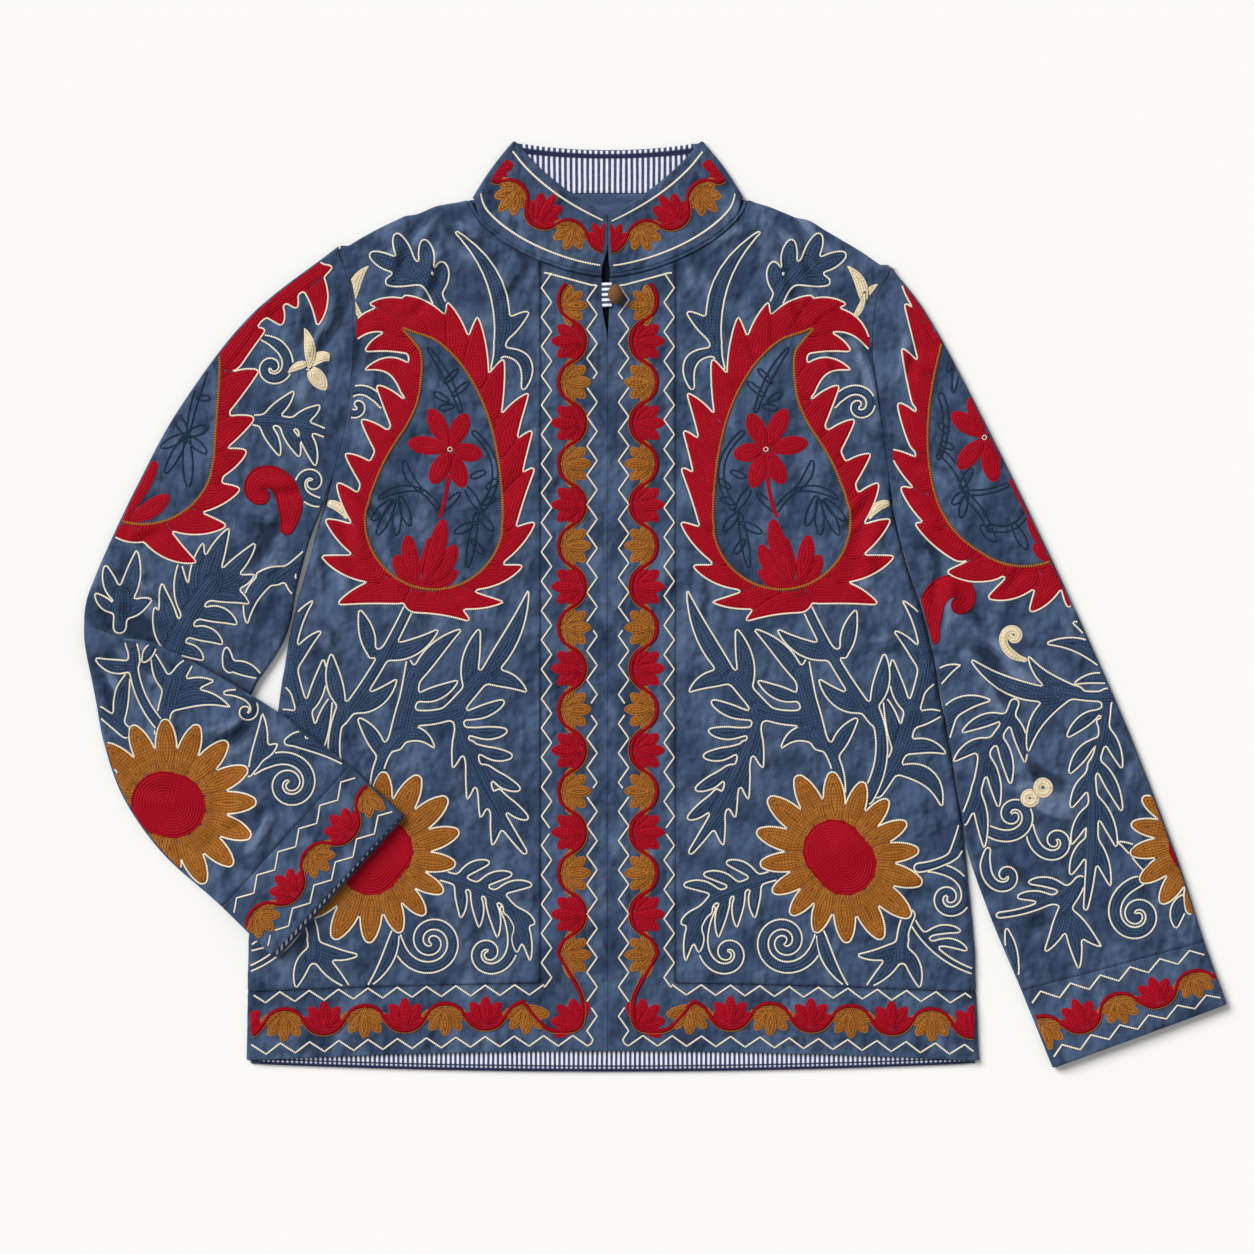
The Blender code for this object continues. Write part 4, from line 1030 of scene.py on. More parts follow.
def ring(x, y, radius, width):
    """A round coil as one closed stroke."""
    turn = np.linspace(0, 2 * np.pi, 18)
    return np.stack([x + radius * np.cos(turn), y + radius * np.sin(turn)], axis=1), np.full(18, width / 2)


def passed_along(line):
    """How far along a line each of its points lies."""
    return np.concatenate([[0], np.cumsum(np.hypot(*np.diff(line, axis=0).T))])


def reach_of(points, margin, x, y):
    """First and last column and row of a grid of places that points reach, with a margin round them."""
    c0, c1 = np.searchsorted(x[0], [points[:, 0].min() - margin, points[:, 0].max() + margin])
    r0, r1 = np.searchsorted(y[:, 0], [points[:, 1].min() - margin, points[:, 1].max() + margin])
    return c0, c1, r0, r1


def measure(strokes, x, y):
    """Distance from each stroke over a grid, negative inside it, and how far along it each place is."""
    found = []
    for points, half in strokes:
        c0, c1, r0, r1 = reach_of(points, half.max() + 5, x, y)
        depth = np.full(x.shape, 1e3)
        along = np.zeros(x.shape)
        if c1 > c0 and r1 > r0:
            px, py = x[r0:r1, c0:c1], y[r0:r1, c0:c1]
            nearest = np.full(px.shape, 1e3)
            place = np.zeros(px.shape)
            passed = 0.0
            for a, b, half_a, half_b in zip(points[:-1], points[1:], half[:-1], half[1:]):
                step = b - a
                length = max(math.hypot(*step), 1e-6)
                t = np.clip(((px - a[0]) * step[0] + (py - a[1]) * step[1]) / length**2, 0, 1)
                away = np.hypot(px - a[0] - t * step[0], py - a[1] - t * step[1])
                away = away - half_a - t * (half_b - half_a)
                closer = away < nearest
                nearest[closer] = away[closer]
                place[closer] = passed + t[closer] * length
                passed += length
            depth[r0:r1, c0:c1] = nearest
            along[r0:r1, c0:c1] = place
        found.append((depth, along))
    return found


# corners a b c d go round a cell from its low left; s e n w are the crossings on its sides
CELL_FACES = {
    1: ("asw",), 2: ("bes",), 4: ("cne",), 8: ("dwn",), 3: ("abew",), 6: ("bcns",), 12: ("cdwe",),
    9: ("asnd",), 7: ("abcnw",), 14: ("bcdws",), 13: ("cdase",), 11: ("abend",), 5: ("asw", "cne"),
    10: ("bes", "dwn"), 15: ("abcd",),
}


def cut_cells(field, layers):
    """Points, layer values, faces and edge lines of the region of a grid where field is below 0."""
    within = field < 0
    count = int(within.sum())
    corner = np.full(field.shape, -1)
    corner[within] = np.arange(count)
    values = [np.stack([layer[within] for layer in layers], axis=1)]
    crossings = {}
    for key, near, far in (("across", np.s_[:, :-1], np.s_[:, 1:]), ("up", np.s_[:-1, :], np.s_[1:, :])):
        cut = within[near] != within[far]
        share = (field[near][cut] / (field[near][cut] - field[far][cut]))[:, None]
        low_values = np.stack([layer[near][cut] for layer in layers], axis=1)
        high_values = np.stack([layer[far][cut] for layer in layers], axis=1)
        values.append(low_values + share * (high_values - low_values))
        crossings[key] = np.full(cut.shape, -1)
        crossings[key][cut] = count + np.arange(int(cut.sum()))
        count += int(cut.sum())
    number = {"a": corner[:-1, :-1], "b": corner[:-1, 1:], "c": corner[1:, 1:], "d": corner[1:, :-1]}
    number.update(s=crossings["across"][:-1], n=crossings["across"][1:])
    number.update(w=crossings["up"][:, :-1], e=crossings["up"][:, 1:])
    code = within[:-1, :-1] + 2 * within[:-1, 1:] + 4 * within[1:, 1:] + 8 * within[1:, :-1]
    faces = []
    after = {}
    for value, shapes in CELL_FACES.items():
        here = code == value
        for shape in shapes:
            faces += np.stack([number[key][here] for key in shape], axis=1).tolist()
            for first, second in zip(shape, shape[1:]):
                if first in "senw" and second in "senw":
                    after.update(zip(number[first][here].tolist(), number[second][here].tolist()))
    return np.concatenate(values), faces, after


def closed_lines(after):
    """The lines that a table of following points makes; one that closes ends with its first point."""
    lines = []
    heads = list(set(after) - set(after.values()))
    while after:
        start = heads.pop() if heads else next(iter(after))
        line = [start]
        while line[-1] in after:
            line.append(after.pop(line[-1]))
        if len(line) > 7:
            lines.append(line)
    return lines


class Ground:
    """A stretch of cloth with flat coordinates of its own in millimetres, and what is sewn on it."""

    def __init__(self, name, size, low, high, place, skins, within):
        self.name = name
        self.x, self.y = np.meshgrid(np.arange(low[0], high[0], size), np.arange(low[1], high[1], size))
        self.size = size
        self.place = place
        self.cover = np.full(self.x.shape, 1e3)
        self.outside = within(self.x, self.y)
        points, faces, total = [], [], 0
        for grid, around in skins:
            points.append(grid.reshape(-1, 3))
            faces.append(grid_faces(*grid.shape[:2], around) + total)
            total += grid.shape[0] * grid.shape[1]
        self.tree = BVHTree.FromPolygons(np.concatenate(points).tolist(), np.concatenate(faces).tolist())
        self.work = {}
        corner_x, corner_y = place(self.x[0, 0] + np.array([20.0, 21.0, 20.0]),
                                   self.y[0, 0] + np.array([20.0, 20.0, 21.0]))
        (x1, x2), (y1, y2) = np.diff(corner_x), np.diff(corner_y)
        self.mirrored = x1 * y2 - x2 * y1 < 0

    def rest(self, flat, lift):
        """Points in space for flat points on the ground, lifted off the cloth by millimetres."""
        x, y = self.place(flat[:, 0], flat[:, 1])
        z = np.empty(len(x))
        down = Vector((0, 0, -1))
        for k, (a, b) in enumerate(zip(x.tolist(), y.tolist())):
            hit = self.tree.ray_cast(Vector((a, b, 0.05)), down)[0]
            if hit is None:
                hit = self.tree.find_nearest(Vector((a, b, 0.006)))[0]
            z[k] = hit.z
        return np.stack([x, y, z + np.asarray(lift) * 0.001], axis=1)

    def add(self, thread, points, faces, edge, run):
        """Keep a piece of sewing until the ground's meshes are made."""
        if self.mirrored:
            faces = [face[::-1] for face in faces]
        self.work.setdefault(thread, []).append((points, faces, edge, run))

    def sample(self, layer, flat):
        """A layer's value at flat points."""
        column = np.clip((flat[:, 0] - self.x[0, 0]) / self.size, 0, self.x.shape[1] - 1.001)
        row = np.clip((flat[:, 1] - self.y[0, 0]) / self.size, 0, self.x.shape[0] - 1.001)
        c, r = column.astype(int), row.astype(int)
        u, v = column - c, row - r
        low_row = layer[r, c] * (1 - u) + layer[r, c + 1] * u
        return low_row * (1 - v) + (layer[r + 1, c] * (1 - u) + layer[r + 1, c + 1] * u) * v

    def lay(self, thread, line, width=2.1, height=0.95, gap=0.5, spacing=1.8, keep_corners=False):
        """Lay a cord along flat points, except under earlier work and past the cloth's edge."""
        if not keep_corners:
            passed = passed_along(line)
            count = max(int(passed[-1] / spacing), 3)
            even = np.linspace(0, passed[-1], count + 1)
            line = np.stack([np.interp(even, passed, part) for part in line.T], axis=1)
        shown = (self.sample(self.cover, line) > gap) & (self.sample(self.outside, line) < -0.4)
        start = 0
        while start < len(line):
            if not shown[start]:
                start += 1
                continue
            end = start
            while end < len(line) and shown[end]:
                end += 1
            if end - start > 2:
                self.ribbon(thread, line[start:end], width, height)
            start = end

    def ribbon(self, thread, line, width, height):
        """The half-round cord itself."""
        along = np.gradient(line, axis=0)
        along = along / np.maximum(np.hypot(along[:, 0], along[:, 1])[:, None], 1e-9)
        across = np.stack([-along[:, 1], along[:, 0]], axis=1) * width / 2
        feet = self.rest(np.concatenate([line - across, line + across]), 0.0)
        first, second = feet[: len(line)], feet[len(line):]
        up = np.array([0, 0, height * 0.001])
        shoulder = np.array([0, 0, height * 0.00078]) * 0.62
        under = np.array([0, 0, 0.0003])
        rows = [first - under, first * 0.79 + second * 0.21 + shoulder, first * 0.5 + second * 0.5 + up,
                first * 0.21 + second * 0.79 + shoulder, second - under]
        points = np.stack(rows, axis=1)
        edge = np.array([0.0, 0.5, 1.0, 0.5, 0.0])
        self.add(thread, points.reshape(-1, 3), faces_of(points, -1).tolist(), np.tile(edge, len(line)),
                 np.repeat(passed_along(line), 5))

    def sew(self, thread, strokes, outline="cream_cord", cord=1.95, hole=None, lift=0.7, gap=0.35, blend=0.01):
        """Fill strokes with stitches and lay a cord round them; blend rounds the forks between them."""
        margin = max(half.max() for _, half in strokes) + 6
        c0, c1, r0, r1 = reach_of(np.concatenate([p for p, _ in strokes]), margin, self.x, self.y)
        if c1 - c0 < 3 or r1 - r0 < 3:
            return
        window = np.s_[r0:r1, c0:c1]
        x, y = self.x[window], self.y[window]
        limit = np.maximum(self.outside[window], gap - self.cover[window])
        if hole:
            cut = measure([hole], x, y)[0][0]
            limit = np.maximum(limit, -cut)
        whole = np.full(x.shape, 1e3)
        measured = measure(strokes, x, y)
        for depth, _ in measured:
            share = np.clip(0.5 + 0.5 * (depth - whole) / blend, 0, 1)
            whole = depth * (1 - share) + whole * share - blend * share * (1 - share)
        # the strokes sewn first lie on top of those that come after them
        sewn = np.full(x.shape, 1e3)
        for depth, along in measured:
            reach = depth - blend
            field = np.maximum.reduce([whole, limit, reach, 0.12 - sewn])
            sewn = np.minimum(sewn, reach)
            if not (field < 0).any():
                continue
            values, faces, _ = cut_cells(field, [x, y, -depth, along])
            rise = lift * (0.25 + 0.75 * smoothstep(0, 2.2, values[:, 2]))
            self.add(thread, self.rest(values[:, :2], rise), faces, values[:, 2], values[:, 3])
        if outline:
            values, _, after = cut_cells(whole, [x, y])
            for loop in closed_lines(after):
                line = values[loop]
                for _ in range(2):
                    line[1:-1] = (line[:-2] + 2 * line[1:-1] + line[2:]) / 4
                self.lay(outline, line, cord)
        self.cover[window] = np.minimum(self.cover[window], np.maximum(whole, -cut) if hole else whole)

    def finish(self):
        """Make one mesh for each thread sewn on this ground."""
        for thread, parts in self.work.items():
            points, faces, edge, run, total = [], [], [], [], 0
            for part in parts:
                points.append(part[0])
                faces += [[corner + total for corner in face] for face in part[1]]
                edge.append(part[2])
                run.append(part[3])
                total += len(part[0])
            values = {"edge": np.concatenate(edge), "run": np.concatenate(run)}
            make_piece(f"{thread}_{self.name}", np.concatenate(points), faces, THREADS[thread].material,
                       SLOTS.get(thread, thread), values)


def stitched(name, dark, main, light, pitch, depth, loop):
    """Rows of chain stitch that follow a shape's outline, in three shades of one colour; its dark shade is
    painted shade in the grooves between the rows and loops.
    """
    dark, main, light = tint(*dark), tint(*main), tint(*light)
    finish = Finish(name, roughness=0.75)
    wander = finish.noise(0.0050, 2.0)
    rows = ((finish.value("edge") + (wander - 0.5) * 1.6) * (2 * math.pi / pitch)).sine()
    links = (finish.value("run") * (2 * math.pi / 2.6) + rows * 1.2).sine()
    fibre = finish.noise(0.0007, 2.0)
    cloud = finish.noise(0.014, 2.0)
    shade = finish.mix(cloud.step(0.3, 0.7), main, finish.mix(0.35, main, light))
    # painted shade in the grooves between rows of stitches, and in the loops of the links
    shade = finish.mix((rows * -1.0).step(0.15, 1.0) * depth, shade, dark)
    shade = finish.mix(links.step(0.3, 1.0) * loop * rows.step(-0.6, 0.6), shade, dark)
    shade = finish.mix(fibre.step(0.4, 0.8) * 0.25, shade, light)
    finish.feed(Base_Color=shade)
    finish.bump(rows * 0.5 + links * 0.25 + fibre * 0.6, 0.0005, 0.6)
    return finish


def laid(name, dark, main, light, pitch=1.5, beads=0.0):
    """A thin twisted cord with painted shadow at its sides and painted highlight on its twists; with beads it
    is a row of chain stitch instead, with painted shade between them.
    """
    dark, main, light = tint(*dark), tint(*main), tint(*light)
    finish = Finish(name, roughness=0.8)
    twist = (finish.value("run") * (2 * math.pi / pitch) + finish.value("edge") * 2.2 * (1 - beads)).sine()
    # painted shadow along the cord's sides, painted highlight on each twist, and with beads painted shade
    # between them
    side = finish.value("edge").step(0.26, 0.62)
    shade = finish.mix(side, dark, main)
    shade = finish.mix(twist.step(0.1, 1.0) * 0.35, shade, light)
    if beads:
        shade = finish.mix((twist * -1.0).step(0.1, 0.9) * beads, shade, dark)
    finish.feed(Base_Color=shade)
    finish.bump(twist, 0.0003 + 0.0004 * beads, 0.7)
    return finish


THREADS = {
    "red_thread": stitched("red chain stitch", (104, 0, 14), (158, 0, 24), (178, 6, 34), 2.2, 0.40, 0.10),
    "amber_thread": stitched("amber chain stitch", (78, 38, 8), (158, 94, 30), (190, 126, 54),
                             2.1, 0.75, 0.45),
    "navy_thread": stitched("navy chain stitch", (22, 34, 53), (47, 67, 96), (70, 92, 122), 2.3, 0.80, 0.45),
    "cream_thread": stitched("cream chain stitch", (160, 138, 104), (228, 208, 170), (246, 234, 206),
                             1.9, 0.6, 0.1),
    "cream_cord": laid("laid cream cord", (46, 44, 46), (248, 237, 212), (255, 252, 240)),
    "gold_cord": laid("laid gold cord", (74, 38, 10), (166, 104, 40), (206, 148, 76), 1.8, 0.5),
    "red_cord": laid("laid red cord", (92, 0, 12), (150, 0, 22), (172, 6, 32)),
    "navy_cord": laid("navy chain stitch cord", (16, 26, 40), (42, 60, 86), (66, 88, 116), 1.9, 0.8),
}
SLOTS = {"cream_thread": "cream_cord", "gold_cord": "amber_thread", "red_cord": "red_thread",
         "navy_cord": "navy_thread"}

# Embroidery on the fronts
# Each panel has a paisley drop with a gold cord and red flames, a sunflower, and dark blue fronds.
# x is counted out from the centre front and y up from the hem; the left front is the mirror image.

DROP = ((155.5, 552.5, 0.6), (146, 546, 3.5), (134, 536, 8.5), (124.5, 514, 17.5), (120, 488, 26.5),
        (121.5, 462, 36), (127.5, 433, 46.5), (132, 407, 52.5))
# rows give x and y of the root, x and y of the tip, width, and the bow if there is one
# a row that names no kind is of its table's own: flame, lobe, finger, or leaf in the fronds
FLAMES = (
    (146, 346, 104, 330, 14, -0.08), (126, 352, 79, 345, 14, 0.05), (104, 364, 64, 373, 15, 0.06),
    (88, 382, 55, 406, 16, 0.02), (79, 408, 55, 448, 16, -0.06), (77, 436, 57, 476, 16, -0.06),
    (81, 464, 60, 504, 16, -0.06), (91, 491, 79, 530, 16, -0.03), (101, 516, 99, 562, 16),
    (113, 534, 122, 573, 15, 0.02), (124, 547, 156, 578, 15, 0.08), (144, 557, 182, 571, 15, 0.14),
    (155, 557, 200, 535, 16, 0.24), (153, 543, 185, 535, 14, 0.10), (149, 508, 185, 521, 14, 0.27),
    (154, 480, 176, 510, 16, 0.05), (163, 456, 188, 484, 16, 0.04), (174, 432, 200, 458, 16, 0.04),
    (184, 408, 206, 436, 16), (186, 388, 215, 408, 16), (178, 370, 218, 380, 16, -0.05),
    (160, 354, 206, 343, 16, 0.06),
)
BLOSSOM = (
    (120, 461, 108, 487, 14), (120, 461, 135, 491, 14), (120, 461, 151, 466, 14),
    (120, 461, 133, 436, 14), (120, 461, 110, 433, 14), (120, 461, 97, 457, 14),
    ("stem", 121, 450, 128, 410, 3.2, -0.05),
)
SPRAY = (
    (143, 356, 125, 409, 14, 0.05), (143, 356, 152, 396, 13, -0.05), (142, 357, 116, 389, 13, 0.10),
    (144, 356, 161, 380, 13, -0.06), (142, 355, 115, 369, 12, 0.06), ("stem", 144, 354, 134, 390, 11),
)
SPRIGS = (
    (112, 490, 137, 538, 5, 0.05), (118, 502, 106, 512, 4.5), (122, 498, 132, 504, 5),
    (124, 512, 114, 522, 4), (118, 494, 128, 492, 5), ("stem", 95, 417, 102, 474, 4.5, 0.22),
    (95, 420, 86, 424, 5), (92, 432, 84, 438, 5), (94, 444, 104, 440, 5), (97, 415, 108, 432, 6),
    (98, 412, 88, 400, 6), (100, 412, 107, 372, 6), (102, 405, 116, 398, 6), (103, 392, 96, 382, 5),
    ("stem", 128, 415, 142, 430, 4, 0.05), (142, 430, 155, 452, 6, -0.1), (142, 430, 174, 424, 5, 0.12),
    (158, 424, 151, 404, 7), (160, 422, 161, 397, 7), (163, 421, 175, 397, 7), (165, 422, 179, 408, 7),
    (127, 414, 113, 428, 5),
)
FRONDS = (
    (("stem", 197, 196, 203, 262, 10, -0.12), ("stem", 202, 256, 148, 348, 9, 0.03),
     (199, 264, 160, 287, 15, 0.12), (201, 264, 210, 307, 14, -0.06), (178, 306, 128, 325, 15, 0.12),
     (180, 304, 189, 340, 13, 0.03)),
    (("stem", 204, 202, 231, 262, 12, -0.06), ("stem", 229, 255, 241, 300, 10, -0.03),
     (241, 290, 223, 347, 13, -0.14), (219, 230, 209, 275, 12, -0.05), (229, 260, 216, 303, 12, 0.06),
     (240, 290, 216, 324, 10, -0.10), (216, 216, 254, 188, 15, 0.26), (221, 230, 258, 229, 13, 0.17),
     (229, 250, 257, 260, 12, 0.10), (235, 274, 262, 296, 11, 0.10)),
    (("stem", 176, 200, 158, 244, 9, -0.12), ("stem", 161, 238, 147, 290, 12, -0.02),
     (149, 280, 110, 325, 14, -0.08), (171, 226, 191, 258, 13, 0.06), (163, 236, 131, 233, 12, -0.32),
     (153, 256, 152, 304, 14, 0.05), (147, 272, 113, 286, 12, 0.08),
     ("stem", 154, 258, 114, 263, 12, 0.08), ("finger", 117, 264, 63, 155, 10, 0.05),
     ("finger", 112, 258, 80, 269, 10, 0.06), ("finger", 106, 247, 78, 247, 10, 0.06),
     ("finger", 99, 234, 74, 228, 10, 0.06), ("finger", 91, 218, 68, 203, 10, 0.06),
     ("finger", 83, 200, 62, 181, 10, 0.06), (112, 254, 118, 218, 11, -0.04),
     (103, 238, 107, 194, 11, -0.04), (94, 220, 97, 180, 11, -0.04), (84, 198, 88, 159, 11, -0.04),
     ("stem", 118, 262, 96, 287, 13), (101, 281, 60, 355, 15, 0.07), (106, 276, 97, 326, 15, -0.05),
     (98, 286, 61, 276, 14, -0.14)),
    (("stem", 133, 139, 78, 118, 8, -0.03), (82, 121, 59, 71, 12, -0.10),
     ("finger", 114, 134, 91, 147, 8.5, -0.10), ("finger", 100, 127, 74, 138, 8.5, -0.10),
     ("finger", 86, 122, 59, 130, 8.5, -0.10), ("finger", 77, 110, 57, 101, 9, -0.08),
     (115, 133, 112, 104, 10, -0.08), (103, 128, 98, 97, 10, -0.06), (92, 123, 84, 89, 10, -0.06),
     (70, 96, 69, 78, 8)),
    ((161, 101, 184, 51, 11, -0.10),),
    (("stem", 229, 107, 224, 74, 9, -0.08), (227, 88, 188, 77, 11, 0.12), (225, 84, 195, 51, 12, 0.05),
     (225, 82, 237, 51, 12, 0.06)),
    (("stem", 230, 105, 278, 64, 5, -0.10), ("finger", 241, 91, 267, 95, 7, 0.12),
     ("finger", 247, 85, 272, 81, 7, 0.12)),
    (("stem", 236, 143, 264, 153, 7, -0.06), (259, 149, 268, 184, 11, -0.14)),
    ((87, 521, 120, 630, 14, 0.18), (84, 542, 59, 566, 13, -0.05),
     ("finger", 83, 535, 64, 508, 10, -0.36)),
    (("stem", 124, 560, 150, 602, 10, 0.08), ("lobe", 145, 594, 161, 625, 12, -0.04),
     ("lobe", 131, 576, 126, 603, 12, 0.05), ("lobe", 138, 588, 140, 620, 12, 0.05),
     ("lobe", 146, 596, 181, 610, 12, -0.04), ("lobe", 138, 586, 169, 587, 11, 0.12)),
)
# x and y of the root, x and y of the middle, radius, turns, hand, width
SCROLLS = (
    (161, 99, 134, 87, 23, 1.75, -1, 9), (80, 112, 91, 78, 15, 1.5, 1, 8.5),
    (240, 142, 259, 120, 16, 1.5, -1, 8), (172, 494, 191, 494, 13.5, 1.2, -1, 7.5),
)
CREAM_BITS = (
    (185, 559, 195, 582, 5.5, -0.10), (194, 570, 181, 601, 10, -0.14), (193, 572, 206, 587, 6, 0.10),
    (199, 409, 220, 419, 8, 0.22),
)


def strokes_of(rows, kind="leaf"):
    """The strokes of a table's rows; a row that names no kind is of the kind given."""
    return [stroke(*row) if isinstance(row[0], str) else stroke(kind, *row) for row in rows]


def edges_of(ground, shape):
    """The closed lines round one stroke, in the ground's flat coordinates."""
    depth = measure([shape], ground.x, ground.y)[0][0]
    values, _, after = cut_cells(depth, [ground.x, ground.y])
    return [values[line] for line in closed_lines(after)]


def sew_fronds(ground, fronds):
    """Each frond as one piece of sewing, whose leaves grow together at the forks."""
    for rows in fronds:
        ground.sew("navy_thread", strokes_of(rows), blend=2.6)


def sew_scrolls(ground, scrolls):
    """Dark blue scrolls, one by one."""
    for row in scrolls:
        ground.sew("navy_thread", [scroll(*row)])


def sew_cream(ground, leaves):
    """Small cream leaves, with no cord round them."""
    for shape in strokes_of(leaves):
        ground.sew("cream_thread", [shape], outline=None)


def drop_stroke(rows, wider=0.0):
    """The paisley's body as one stroke through circles, made wider by some millimetres."""
    rows = spline(rows, np.linspace(0, len(rows) - 1, 5 * len(rows)))
    return rows[:, :2], np.maximum(rows[:, 2], 0.3) + wider


def paisley(ground, drop, flames):
    """Red flames round a drop whose edge is a gold cord."""
    shape = drop_stroke(drop)
    ground.sew("red_thread", strokes_of(flames, "flame") + [drop_stroke(drop, 9.5)], hole=shape, gap=0.3)
    for line in edges_of(ground, shape):
        ground.lay("gold_cord", line, width=3.0, height=1.2, gap=-50)


def loops(ground, rows):
    """Chain stitch in a line of its own round each finger, with the velvet left bare inside."""
    for shape in strokes_of(rows, "finger"):
        for line in edges_of(ground, shape):
            ground.lay("navy_cord", line, width=1.7, height=0.8, gap=0.2, spacing=2.2)


def sunflower(ground, x, y, radii, tilt, reach, first=5):
    """Sixteen amber petals round a red oval, the first at an angle of first degrees."""
    lean = math.radians(tilt)
    along = np.array([math.cos(lean), math.sin(lean)]) * (radii[0] - radii[1])
    oval = (np.array([(x, y) - along, (x, y) + along]), np.full(2, radii[1]))
    ground.sew("red_thread", [oval], outline="red_cord", cord=2.2, lift=0.9)
    petals = []
    for k in range(16):
        angle = math.radians(first + 360 * k / 16)
        turn = angle - lean
        far = 1 / math.hypot(math.cos(turn) / reach[0], math.sin(turn) / reach[1])
        c, s = far * math.cos(angle), far * math.sin(angle)
        petals.append(stroke("petal", x + 0.30 * c, y + 0.30 * s, x + c, y + s, 0.25 * far))
    base = np.array([math.cos(lean), math.sin(lean)]) * (reach[0] - reach[1]) * 0.56
    petals.append((np.array([(x, y) - base, (x, y) + base]), np.full(2, reach[1] * 0.56)))
    ground.sew("amber_thread", petals, gap=0.3)


def plan_of(sign):
    """Where a ground's millimetres lie in the garment's own plan; sign mirrors them to the right."""
    def place(x, y):
        return sign * x * 0.001, y * 0.001
    return place


def panel_within(side):
    """Distance past the edges of one front's main panel, negative on it."""
    def outside(x, y):
        a, b = x * 0.001, y * 0.001
        hem = hem_line(FRONT_HEM, a) + BORDER
        neck = np.where(a < NECK_POINT[0], neck_seam(np.minimum(a, NECK_POINT[0])) - 0.004, 1.0)
        parts = [BORDER + 0.0012 - a, hem + 0.0012 - b, a - half_width(side, b) + 0.0022,
                 b - shoulder_line(side, a) + 0.003, b - neck]
        return 1000 * np.maximum.reduce(np.broadcast_arrays(*parts))
    return outside


for side in SIGN:
    skins = [(grid, False) for grid in body_grids[side]]
    ground = Ground(f"front_{side}", 1.25, (48, 45), (288, 662), plan_of(SIGN[side]), skins,
                    panel_within(side))
    ground.sew("red_thread", strokes_of(BLOSSOM, "lobe"), outline=None)
    ground.sew("red_thread", strokes_of(SPRAY, "lobe"), outline=None)
    ground.lay("cream_cord", ring(120, 461, 1.6, 1)[0], width=1.2, gap=-50, keep_corners=True)
    loops(ground, SPRIGS)
    paisley(ground, DROP, FLAMES)
    sunflower(ground, 176, 151, (30, 23), 130, (71, 57))
    sew_fronds(ground, FRONDS)
    sew_scrolls(ground, SCROLLS)
    sew_cream(ground, CREAM_BITS)
    ground.finish()

# Embroidery on the borders
# A red vine waves between two cream zigzags, with red and amber palmettes by turns in its bends.

VINE_MIDDLE = 27.5
VINE_SWING = 9.8
FRONT_BENDS = (76.8, 62.2, 9)
HEM_BENDS = (62.3, 61.3, 4)
ZIGZAGS = ((12.0, 7.6), (46.6, 46.6))
TOOTH = (11.0, 3.9)
LOBE_SPREAD = 33
CORNER = ((27, 59), (19.5, 42), (22, 22), (42, 19.5), (53, 27))


def wave(at, first, period, swing):
    """A vine's swing to one side: full bends at first and each period on, steep between them."""
    return swing * np.arctan(1.4 * np.cos(2 * np.pi * (at - first) / period)) / math.atan(1.4)


def vine(ground, path, width=3.7):
    """The red stem and the thin gold cord along its lower side."""
    ground.lay("red_cord", path, width=width, height=1.5, gap=-50, spacing=1.5)
    run = np.gradient(path, axis=0)
    across = np.stack([run[:, 1], -run[:, 0]], axis=1) / np.hypot(run[:, 0], run[:, 1])[:, None]
    ground.lay("gold_cord", path + across * (width / 2 + 0.3), width=1.1, height=1.0, gap=-50, spacing=1.5)


def zigzag(ground, middle, tooth):
    """A cream cord that goes to and fro across a line in straight teeth."""
    passed = passed_along(middle)
    count = int(passed[-1] / tooth[0])
    even = np.linspace(0, passed[-1], count * 5 + 1)
    x, y = np.interp(even, passed, middle[:, 0]), np.interp(even, passed, middle[:, 1])
    run = np.stack([np.gradient(x), np.gradient(y)], axis=1)
    run = run / np.hypot(run[:, 0], run[:, 1])[:, None]
    swing = tooth[1] * (2 / np.pi) * np.arcsin(np.sin(np.pi * (np.arange(len(even)) / 5 - 0.5)))
    line = np.stack([x - run[:, 1] * swing, y + run[:, 0] * swing], axis=1)
    ground.lay("cream_cord", line, width=1.9, gap=0.3, keep_corners=True)


def palmette(ground, thread, x, y, heading, size):
    """Five lobes spread from one root; the middle one is the longest and is sewn first."""
    lobes = []
    for lean in (0, -1, 1, -2, 2):
        angle = math.radians(heading + LOBE_SPREAD * lean)
        length = size * (1 - 0.06 * abs(lean) ** 1.5)
        tip = (x + length * math.cos(angle), y + length * math.sin(angle))
        lobes.append(stroke("lobe", x, y, *tip, size * 0.41, -0.05 * lean))
    ground.sew(thread, lobes, outline=None, gap=0.25)


def border_within(side):
    """Distance past the edges of one border, negative on it."""
    def outside(x, y):
        a, b = x * 0.001, y * 0.001
        hem = hem_line(FRONT_HEM, a)
        parts = [0.0012 - a, hem + 0.0012 - b, a - half_width(side, b) + 0.003,
                 np.minimum(a - BORDER, b - hem - BORDER), b - neck_seam(np.minimum(a, 0.1)) + 0.003]
        return 1000 * np.maximum.reduce(np.broadcast_arrays(*parts))
    return outside


def hem_rise(x):
    """How far the front hem lies above y = 0, in millimetres."""
    return 1000 * hem_line(FRONT_HEM, x * 0.001)


